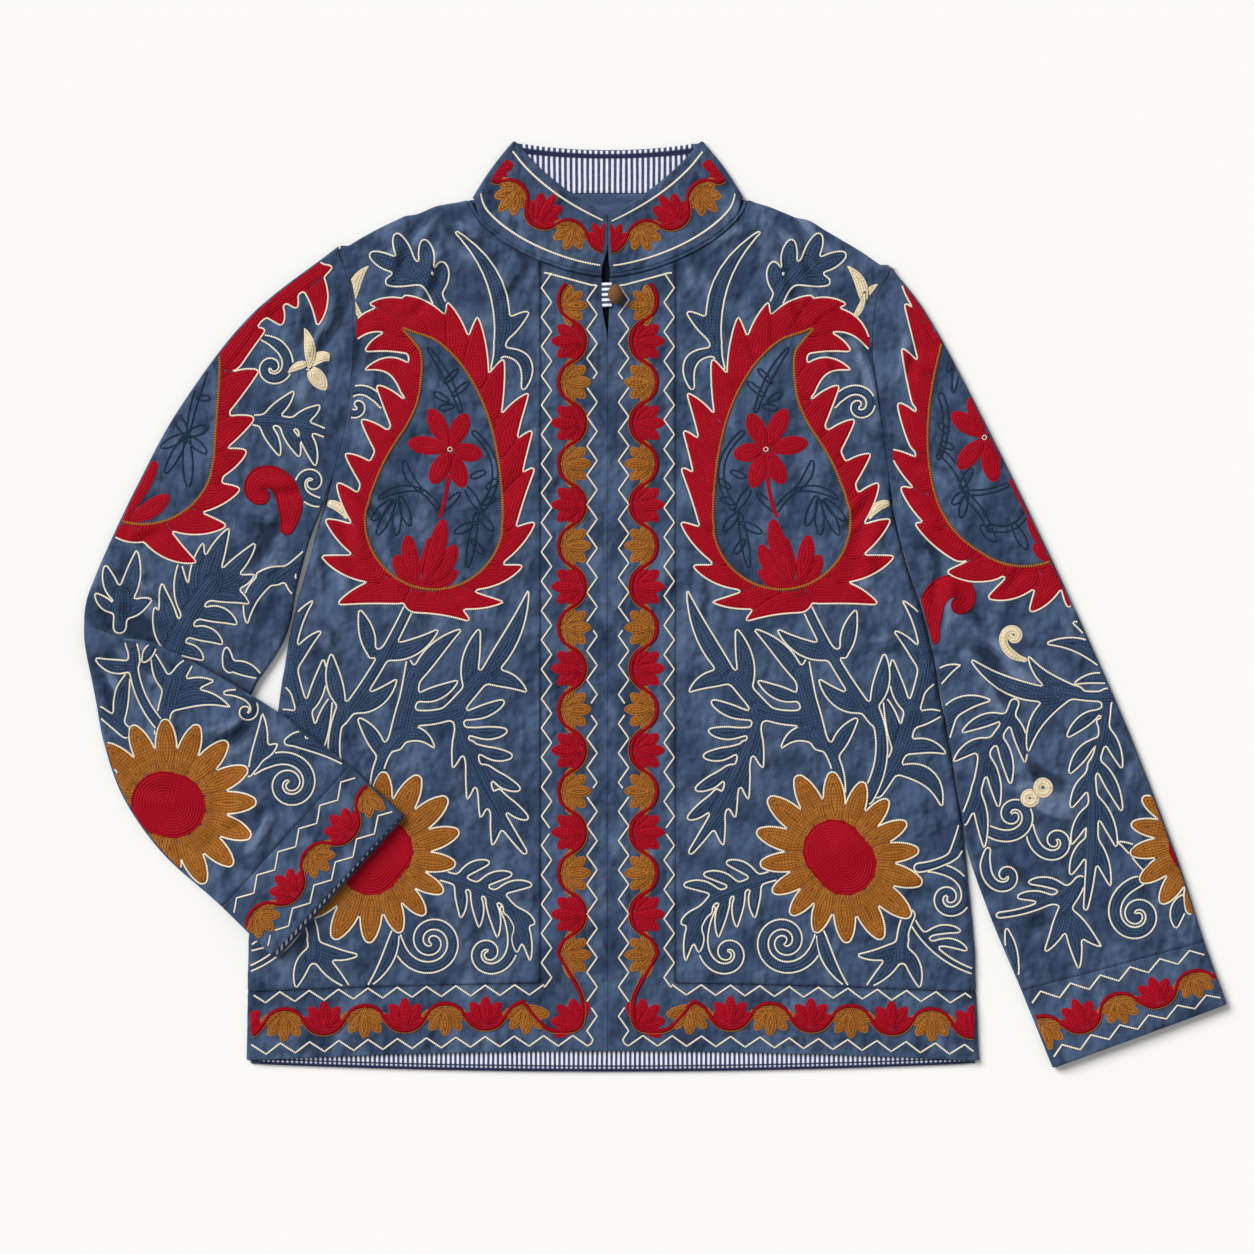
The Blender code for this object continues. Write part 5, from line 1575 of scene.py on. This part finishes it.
for side in SIGN:
    skins = [(grid, False) for grid in body_grids[side]]
    ground = Ground(f"border_{side}", 1.0, (0, -6), (288, 600), plan_of(SIGN[side]), skins,
                    border_within(side))
    first, period, count = FRONT_BENDS
    hem_first, hem_period, hem_count = HEM_BENDS
    down = np.arange(587, first, -3.0)
    path = [(VINE_MIDDLE + wave(y, first, period, VINE_SWING), y) for y in down]
    out = np.arange(hem_first + 2, 284, 3.0)
    path += list(CORNER)
    path += [(x, hem_rise(x) + VINE_MIDDLE + wave(x, hem_first, hem_period, VINE_SWING)) for x in out]
    path = spline(path, np.linspace(0, len(path) - 1, 4 * len(path)))
    low_x, high_x = VINE_MIDDLE - VINE_SWING, VINE_MIDDLE + VINE_SWING
    for k in range(count):
        below_neck = k == count - 1
        y = first + k * period - 4 * below_neck
        palmette(ground, "amber_thread", high_x - 1.5, y, 180, 23 - 3 * below_neck)
    for k in range(count - 1):
        palmette(ground, "red_thread", low_x + 1.5, first + (k + 0.5) * period, 0, 23.5)
    palmette(ground, "red_thread", 22, 22, 45, 23)
    for k in range(hem_count):
        x = hem_first + k * hem_period
        palmette(ground, "amber_thread", x, hem_rise(x) + high_x - 1.5, -90, 23)
        x = x + hem_period / 2
        palmette(ground, "red_thread", x, hem_rise(x) + low_x + 1.5, 90, 22.5)
    vine(ground, path)
    tops = []
    for inset, hem_inset in ZIGZAGS:
        tops.append((inset, 1000 * float(neck_seam(inset * 0.001)) - 7))
        reach = np.arange(inset, 283, 2.0)
        middle = np.vstack([[tops[-1], (inset, hem_rise(inset) + hem_inset)],
                            np.stack([reach, hem_rise(reach) + hem_inset], axis=1)[1:]])
        zigzag(ground, middle, TOOTH)
    (first_x, first_y), (last_x, last_y) = tops
    ground.lay("cream_cord", np.array([(first_x - 3, first_y), *tops, (last_x + 2, last_y)]))
    ground.finish()

# Embroidery on the sleeves
# The same motifs run over the outer edge of each sleeve, so only part of the drop and sunflower shows.
# x and y are the garment's own, in millimetres.

LEFT_DROP = ((262, 566, 1), (267, 549, 11), (277, 520, 28), (289, 490, 45), (298, 462, 55), (304, 438, 56),
             (316, 427, 55))
LEFT_FLAMES = (
    (256, 556, 222, 592, 14, 0.05), (252, 548, 233, 578, 11), (246, 528, 225, 573, 15, -0.04),
    (240, 500, 223, 538, 15, -0.04), (238, 468, 220, 497, 15, -0.03), (241, 438, 214, 461, 16),
    (250, 410, 222, 433, 16), (268, 386, 233, 405, 16), (292, 372, 257, 368, 16, 0.05),
    (318, 364, 288, 348, 16, 0.06), (338, 364, 320, 337, 15, 0.05), (352, 368, 350, 340, 13),
)
LEFT_BLOSSOM = (
    (286, 470, 262, 488, 14), (286, 470, 276, 501, 13), (286, 470, 267, 447, 14),
    (286, 470, 294, 437, 14), (286, 470, 309, 453, 14), (286, 470, 303, 494, 14),
    ("stem", 306, 437, 319, 412, 3.2), (342, 374, 319, 412, 12), (342, 374, 324, 388, 11),
)
LEFT_SPRIGS = (
    ("stem", 253, 502, 251, 455, 4.5, 0.10), (252, 480, 258, 474, 5), (253, 466, 262, 462, 5),
    ("stem", 254, 458, 272, 428, 5, 0.08), (268, 432, 276, 446, 6), (270, 428, 262, 420, 6),
    (272, 426, 268, 410, 6), ("stem", 274, 428, 303, 434, 4, -0.06),
    ("stem", 274, 424, 290, 400, 5, 0.06), ("stem", 290, 402, 318, 414, 5, -0.22),
    (284, 402, 294, 392, 7), (308, 404, 318, 386, 7), (262, 540, 262, 505, 5, 0.06),
    (262, 526, 270, 518, 5), (263, 536, 258, 520, 4),
)
LEFT_FRONDS = (
    (("stem", 384, 274, 344, 277, 8, 0.05), (350, 275, 274, 303, 15, 0.12),
     (358, 279, 319, 305, 12, 0.16), (358, 277, 319, 229, 14, -0.18),
     ("stem", 379, 276, 366, 214, 7, 0.06), ("finger", 367, 222, 363, 112, 8.5, 0.03),
     (374, 262, 348, 241, 11, -0.06), (370, 240, 350, 213, 11, -0.05), (369, 216, 351, 187, 11, -0.05),
     (368, 191, 352, 160, 11, -0.04), (366, 166, 351, 136, 11, -0.04), (373, 254, 391, 217, 11, 0.05),
     (370, 226, 391, 184, 11, 0.05), (367, 200, 387, 157, 11, 0.05), (365, 170, 382, 128, 11, 0.04)),
    ((386, 287, 331, 313, 14, -0.18),),
    ((376, 310, 352, 330, 10, -0.10),),
    ((388, 284, 353, 282, 9, -0.12),),
    ((386, 280, 398, 240, 9, 0.10),),
    (("stem", 309, 268, 284, 230, 7, 0.06), ("stem", 286, 234, 270, 178, 8, 0.05),
     (306, 260, 317, 222, 11, 0.05), (296, 245, 306, 205, 10.5, 0.05), (287, 230, 297, 187, 10.5, 0.04),
     (279, 205, 286, 157, 11, 0.03), (302, 258, 268, 245, 11, -0.08), (291, 240, 262, 223, 11, -0.08)),
    ((250, 250, 292, 270, 14, 0.16), ("stem", 262, 262, 256, 240, 8)),
    ((246, 276, 268, 297, 11, 0.16),),
    (("stem", 359, 133, 346, 110, 8, 0.05), (347, 118, 331, 78, 12, 0.08), (348, 112, 358, 65, 12, 0.03),
     (350, 112, 375, 83, 12, -0.06), ("stem", 357, 132, 297, 107, 5.5, 0.08),
     ("finger", 350, 124, 321, 132, 8, -0.12), ("finger", 342, 117, 312, 121, 8, -0.08)),
    ((412, 137, 387, 163, 11, -0.12),),
    ((303, 96, 312, 60, 9),),
    ((440, 122, 432, 96, 13, -0.12),),
)
LEFT_SCROLLS = (
    (281, 178, 308, 183, 15, 1.4, 1, 9), (321, 178, 340, 163, 12.5, 1.3, 1, 8),
    (289, 157, 302, 137, 11, 1.2, 1, 8), (413, 135, 402, 107, 19, 1.7, 1, 9.5),
)
RIGHT_DROP = ((-303, 552, 4), (-317, 530, 22), (-333, 502, 37), (-347, 476, 49), (-353, 458, 54))
RIGHT_FLAMES = (
    ("stem", -296, 530, -264, 570, 19), ("stem", -268, 566, -222, 597, 18), (-236, 590, -209, 600, 14),
    (-228, 594, -221, 554, 15, 0.12), (-244, 582, -236, 568, 10), (-260, 572, -248, 555, 14, 0.10),
    (-288, 532, -260, 552, 18, 0.08), (-294, 500, -265, 521, 18, 0.06), (-297, 470, -268, 485, 17, 0.04),
    (-300, 448, -274, 460, 16), (-308, 424, -279, 431, 16), (-325, 408, -289, 403, 16, -0.04),
    (-346, 400, -312, 375, 17, -0.08), (-372, 402, -350, 392, 12, -0.05),
)
RIGHT_SPRAY = (
    (-367, 406, -343, 452, 15, 0.05), (-367, 406, -334, 426, 14, -0.05), (-368, 406, -362, 440, 14),
)
RIGHT_SPRIGS = (
    (-320, 472, -329, 488, 7), (-320, 472, -305, 478, 7), (-320, 471, -306, 459, 7),
    (-320, 470, -319, 434, 8), (-321, 471, -336, 444, 7), (-321, 472, -339, 463, 7),
    (-319, 474, -304, 524, 5, 0.04), (-312, 500, -303, 500, 4.5), (-311, 508, -318, 516, 4),
)
UPPER_FRONDS = (
    (("stem", -268, 483, -214, 473, 8, 0.06), (-262, 484, -238, 506, 11, -0.06),
     (-240, 482, -218, 495, 11, -0.06), (-264, 482, -249, 455, 11, 0.06),
     (-248, 480, -234, 454, 11, 0.06), (-234, 478, -222, 447, 11, 0.06)),
    (("stem", -330, 308, -300, 360, 12, 0.04), (-306, 350, -287, 402, 16, 0.05),
     (-312, 342, -307, 391, 13, 0.05), (-318, 330, -325, 377, 13, 0.05), (-326, 318, -339, 360, 13, 0.05),
     (-332, 306, -344, 342, 12, 0.05), (-300, 358, -267, 391, 13, -0.05),
     (-296, 360, -268, 366, 12, -0.10), (-304, 348, -272, 343, 14, 0.16),
     (-312, 334, -281, 327, 14, 0.16), (-320, 320, -292, 312, 13, 0.16), (-328, 308, -307, 300, 12, 0.16)),
    (("stem", -212, 398, -252, 362, 11, 0.05), (-240, 368, -268, 366, 11),
     (-246, 368, -274, 327, 14, -0.20), (-244, 366, -232, 346, 11)),
    (("stem", -371, 326, -370, 352, 10), (-371, 340, -358, 385, 15, -0.06),
     (-368, 334, -346, 347, 13, 0.05), (-372, 346, -382, 374, 12, 0.05), (-374, 338, -390, 352, 10, 0.05)),
    ((-290, 296, -262, 286, 12, 0.10), (-288, 292, -290, 312, 9)),
)
UPPER_SCROLLS = ((-263, 546, -255, 523, 13, 1.35, -1, 8.5), (-212, 421, -225, 436, 11, 1.25, -1, 8))
UPPER_CREAM = (
    (-227, 524, -231, 554, 10, -0.08), (-226, 526, -244, 518, 7, -0.12), (-228, 522, -205, 527, 10, 0.30),
    (-226, 522, -214, 506, 14),
)
FOREARM_FRONDS = (
    (("stem", -339, 250, -360, 304, 8, 0.10), (-358, 298, -390, 303, 12, 0.14),
     (-357, 300, -366, 328, 10), (-352, 300, -342, 316, 9)),
    (("stem", -339, 246, -330, 286, 11, 0.03), (-332, 276, -345, 309, 11, 0.05),
     (-331, 280, -312, 304, 12, 0.05), (-335, 262, -286, 265, 14, 0.18), (-332, 272, -298, 285, 12, 0.10)),
    (("stem", -366, 246, -386, 262, 9), (-370, 250, -362, 294, 13, 0.08)),
    ((-272, 214, -262, 261, 12, -0.08), (-264, 226, -250, 238, 8)),
    ((-243, 238, -196, 219, 11, 0.12), (-244, 240, -226, 247, 7)),
    ((-284, 284, -262, 272, 10, 0.12),),
)
FOREARM_SCROLLS = ((-269, 216, -241, 207, 19, 1.7, -1, 9.5), (-290, 276, -274, 262, 7, 1.2, -1, 6))


def arm_within(table, first, last, edge=1.6):
    """Distance past the edges of a stretch of sleeve, negative on it; work keeps off the edges."""
    outer_end, inner_end, _ = section_ends(table, np.linspace(first, last, 60))
    outline = np.vstack([outer_end, inner_end[::-1]])

    def outside(x, y):
        return 1000 * signed_distance(outline, x * 0.001, y * 0.001) + edge
    return outside


ground = Ground("sleeve_left", 1.3, (200, -10), (480, 605), plan_of(1.0), [(sleeve_grids["left"], True)],
                arm_within(LEFT_SLEEVE, 0, CUFF_SEAM["left"]))
ground.sew("red_thread", strokes_of(LEFT_BLOSSOM, "lobe"), outline=None)
ground.lay("cream_cord", ring(286, 470, 1.6, 1)[0], width=1.2, gap=-50, keep_corners=True)
loops(ground, LEFT_SPRIGS)
paisley(ground, LEFT_DROP, LEFT_FLAMES)
ground.sew("red_thread", [scroll(247, 318, 265, 347, 13, 0.85, -1, 19, 5)], outline="red_cord", cord=1.6)
ground.sew("cream_thread", [scroll(317, 301, 308, 319, 8, 1.25, -1, 7, 2)], outline=None)
for x, y, radius in ((330.5, 204, 4.6), (320.5, 196, 4.2)):
    ground.sew("cream_thread", [ring(x, y, radius, 6)], outline=None)
sunflower(ground, 453, 166, (30, 23), 60, (60, 56), 12)
sew_fronds(ground, LEFT_FRONDS)
sew_scrolls(ground, LEFT_SCROLLS)
ground.finish()

rows = SLEEVES["right"][1]
upper_grid = sleeve_grids["right"][rows < CREASE + 0.1]
lower_grid = sleeve_grids["right"][rows > CREASE - 0.1]
ground = Ground("upper_arm_right", 1.3, (-405, 280), (-195, 620), plan_of(1.0), [(upper_grid, True)],
                arm_within(RIGHT_SLEEVE, 0, CREASE - 0.2))
ground.sew("red_thread", strokes_of(RIGHT_SPRAY, "lobe"), outline=None)
loops(ground, RIGHT_SPRIGS)
paisley(ground, RIGHT_DROP, RIGHT_FLAMES)
ground.sew("red_thread", [scroll(-244, 401, -262, 430, 13, 0.85, 1, 19, 5)], outline="red_cord", cord=1.6)
sew_cream(ground, UPPER_CREAM)
sew_scrolls(ground, UPPER_SCROLLS)
sew_fronds(ground, UPPER_FRONDS)
ground.finish()

ground = Ground("forearm_right", 1.3, (-405, 90), (-190, 335), plan_of(1.0), [(lower_grid, True)],
                arm_within(RIGHT_SLEEVE, CREASE + 0.35, CUFF_SEAM["right"]))
sunflower(ground, -334, 191, (28, 24), 165, (68, 65), 2)
sew_fronds(ground, FOREARM_FRONDS)
sew_scrolls(ground, FOREARM_SCROLLS)
ground.finish()

# Embroidery on the cuffs
# The borders' vine again, round each cuff.
# s runs from the outer end to the inner one and t up from the edge.

CUFF_WIDTH = 145.0
CUFF_DEPTH = 57.0
CUFF_BENDS = {"left": (18.0, 61.5), "right": (15.0, 61.5)}
for side, (table, _) in SLEEVES.items():
    last = len(table) - 1

    def cuff_place(s, t, table=table, last=last):
        """Garment plan of a place on the cuff."""
        outer_end, inner_end, _ = section_ends(table, last - t / CUFF_DEPTH)
        spot = outer_end + (s / CUFF_WIDTH)[:, None] * (inner_end - outer_end)
        return spot[:, 0], spot[:, 1]

    def cuff_within(s, t):
        """Distance past the cuff's edges, negative on it."""
        return np.maximum.reduce([1.5 - s, s - CUFF_WIDTH + 1.5, 1.5 - t, t - CUFF_DEPTH + 0.5])

    first, period = CUFF_BENDS[side]
    ground = Ground(f"cuff_{side}", 0.95, (0, 0), (CUFF_WIDTH, CUFF_DEPTH), cuff_place,
                    [(cuff_grids[side], True), (sleeve_grids[side], True)], cuff_within)
    reach = np.arange(-3, CUFF_WIDTH + 3, 1.0)
    path = np.stack([reach, 27 + wave(reach, first, period, VINE_SWING)], axis=1)
    for k in range(-1, 4):
        palmette(ground, "amber_thread", first + k * period, 35, -90, 22.5)
        palmette(ground, "red_thread", first + (k + 0.5) * period, 19, 90, 22.5)
    vine(ground, path)
    for inset in (9.0, 49.5):
        zigzag(ground, np.array([(1.5, inset), (CUFF_WIDTH - 1.5, inset)]), TOOTH)
    ground.finish()

# Embroidery on the collar
# A finer vine with palmettes, between two plain cream cords.
# s runs from the centre front and t up from the seam.

COLLAR_DEPTH = 46.0
COLLAR_SWING = 7.2
for side in SIGN:
    low_points, high_points = (line[:COLLAR_FRONT_COUNT] * 1000 for line in collar_half(side)[:2])
    middle = (low_points + high_points) / 2
    passed = passed_along(middle)

    def collar_place(s, t, sign=SIGN[side], lines=(*low_points.T, *high_points.T), passed=passed):
        """Garment plan of a place on the collar's front."""
        low_x, low_y, high_x, high_y = (np.interp(s, passed, line) for line in lines)
        x = low_x + t / COLLAR_DEPTH * (high_x - low_x)
        return sign * x * 0.001, (low_y + t / COLLAR_DEPTH * (high_y - low_y)) * 0.001

    def collar_within(s, t, end=passed[-1]):
        """Distance past the collar's edges, negative on it."""
        return np.maximum.reduce([0.8 - s, s - end + 0.3, 0.8 - t, t - COLLAR_DEPTH + 1.0])

    ground = Ground(f"collar_{side}", 0.9, (-4, 0), (passed[-1] + 3, COLLAR_DEPTH), collar_place,
                    [(collar_grid, False)], collar_within)
    reach = np.arange(-3, passed[-1] + 3, 1.0)
    period = passed[-1] / 1.93
    path = np.stack([reach, 24 - wave(reach, 0, period, COLLAR_SWING)], axis=1)
    for k in range(4):
        palmette(ground, "red_thread", k * period, 17.8, 90, 21.5)
        palmette(ground, "amber_thread", (k + 0.5) * period, 30.5, -90, 20)
    vine(ground, path, 3.2)
    for t in (5.5, 40.5):
        ground.lay("cream_cord", np.stack([reach, np.full(len(reach), t)], axis=1), width=1.9, gap=0.3)
    ground.finish()

# Floor, light and camera
# A plain pale surface with soft light from the upper left, seen from straight above with a long lens.

floor_finish = Finish("plain floor", roughness=0.95)
floor_finish.shader.inputs["Base Color"].default_value = tint(246, 245, 242)
mesh = bpy.data.meshes.new("floor")
mesh.from_pydata([(-4, -4, 0), (4, -4, 0), (4, 4, 0), (-4, 4, 0)], [], [(0, 1, 2, 3)])
mesh.materials.append(floor_finish.material)
floor = bpy.data.objects.new("floor", mesh)
bpy.context.scene.collection.objects.link(floor)

# name, direction to it, strength, how wide it looks in degrees
LIGHTS = (
    ("key light", (-0.90, 0.70, 0.95), 3.30, 32),
    ("fill light", (0.7, -0.3, 1.0), 0.20, 60),
)
for name, direction, strength, angle in LIGHTS:
    lamp = bpy.data.lights.new(name, "SUN")
    lamp.energy = strength
    lamp.angle = math.radians(angle)
    holder = bpy.data.objects.new(name, lamp)
    holder.rotation_euler = Vector(direction).to_track_quat("Z", "Y").to_euler()
    bpy.context.scene.collection.objects.link(holder)

world = bpy.data.worlds.new("studio")
world.use_nodes = True
world.node_tree.nodes["Background"].inputs["Color"].default_value = (1.0, 0.995, 0.985, 1)
world.node_tree.nodes["Background"].inputs["Strength"].default_value = 0.33
bpy.context.scene.world = world
bpy.context.scene.view_settings.view_transform = "Standard"

CAMERA_HEIGHT = 2.8
VIEW_REACH = 0.4765
VIEW_MIDDLE = (0.01444, 0.32604)
lens = bpy.data.cameras.new("camera")
lens.angle = 2 * math.atan(VIEW_REACH / (CAMERA_HEIGHT - TOP))
camera = bpy.data.objects.new("camera", lens)
camera.location = shift + Vector((*VIEW_MIDDLE, CAMERA_HEIGHT))
bpy.context.scene.collection.objects.link(camera)
bpy.context.scene.camera = camera
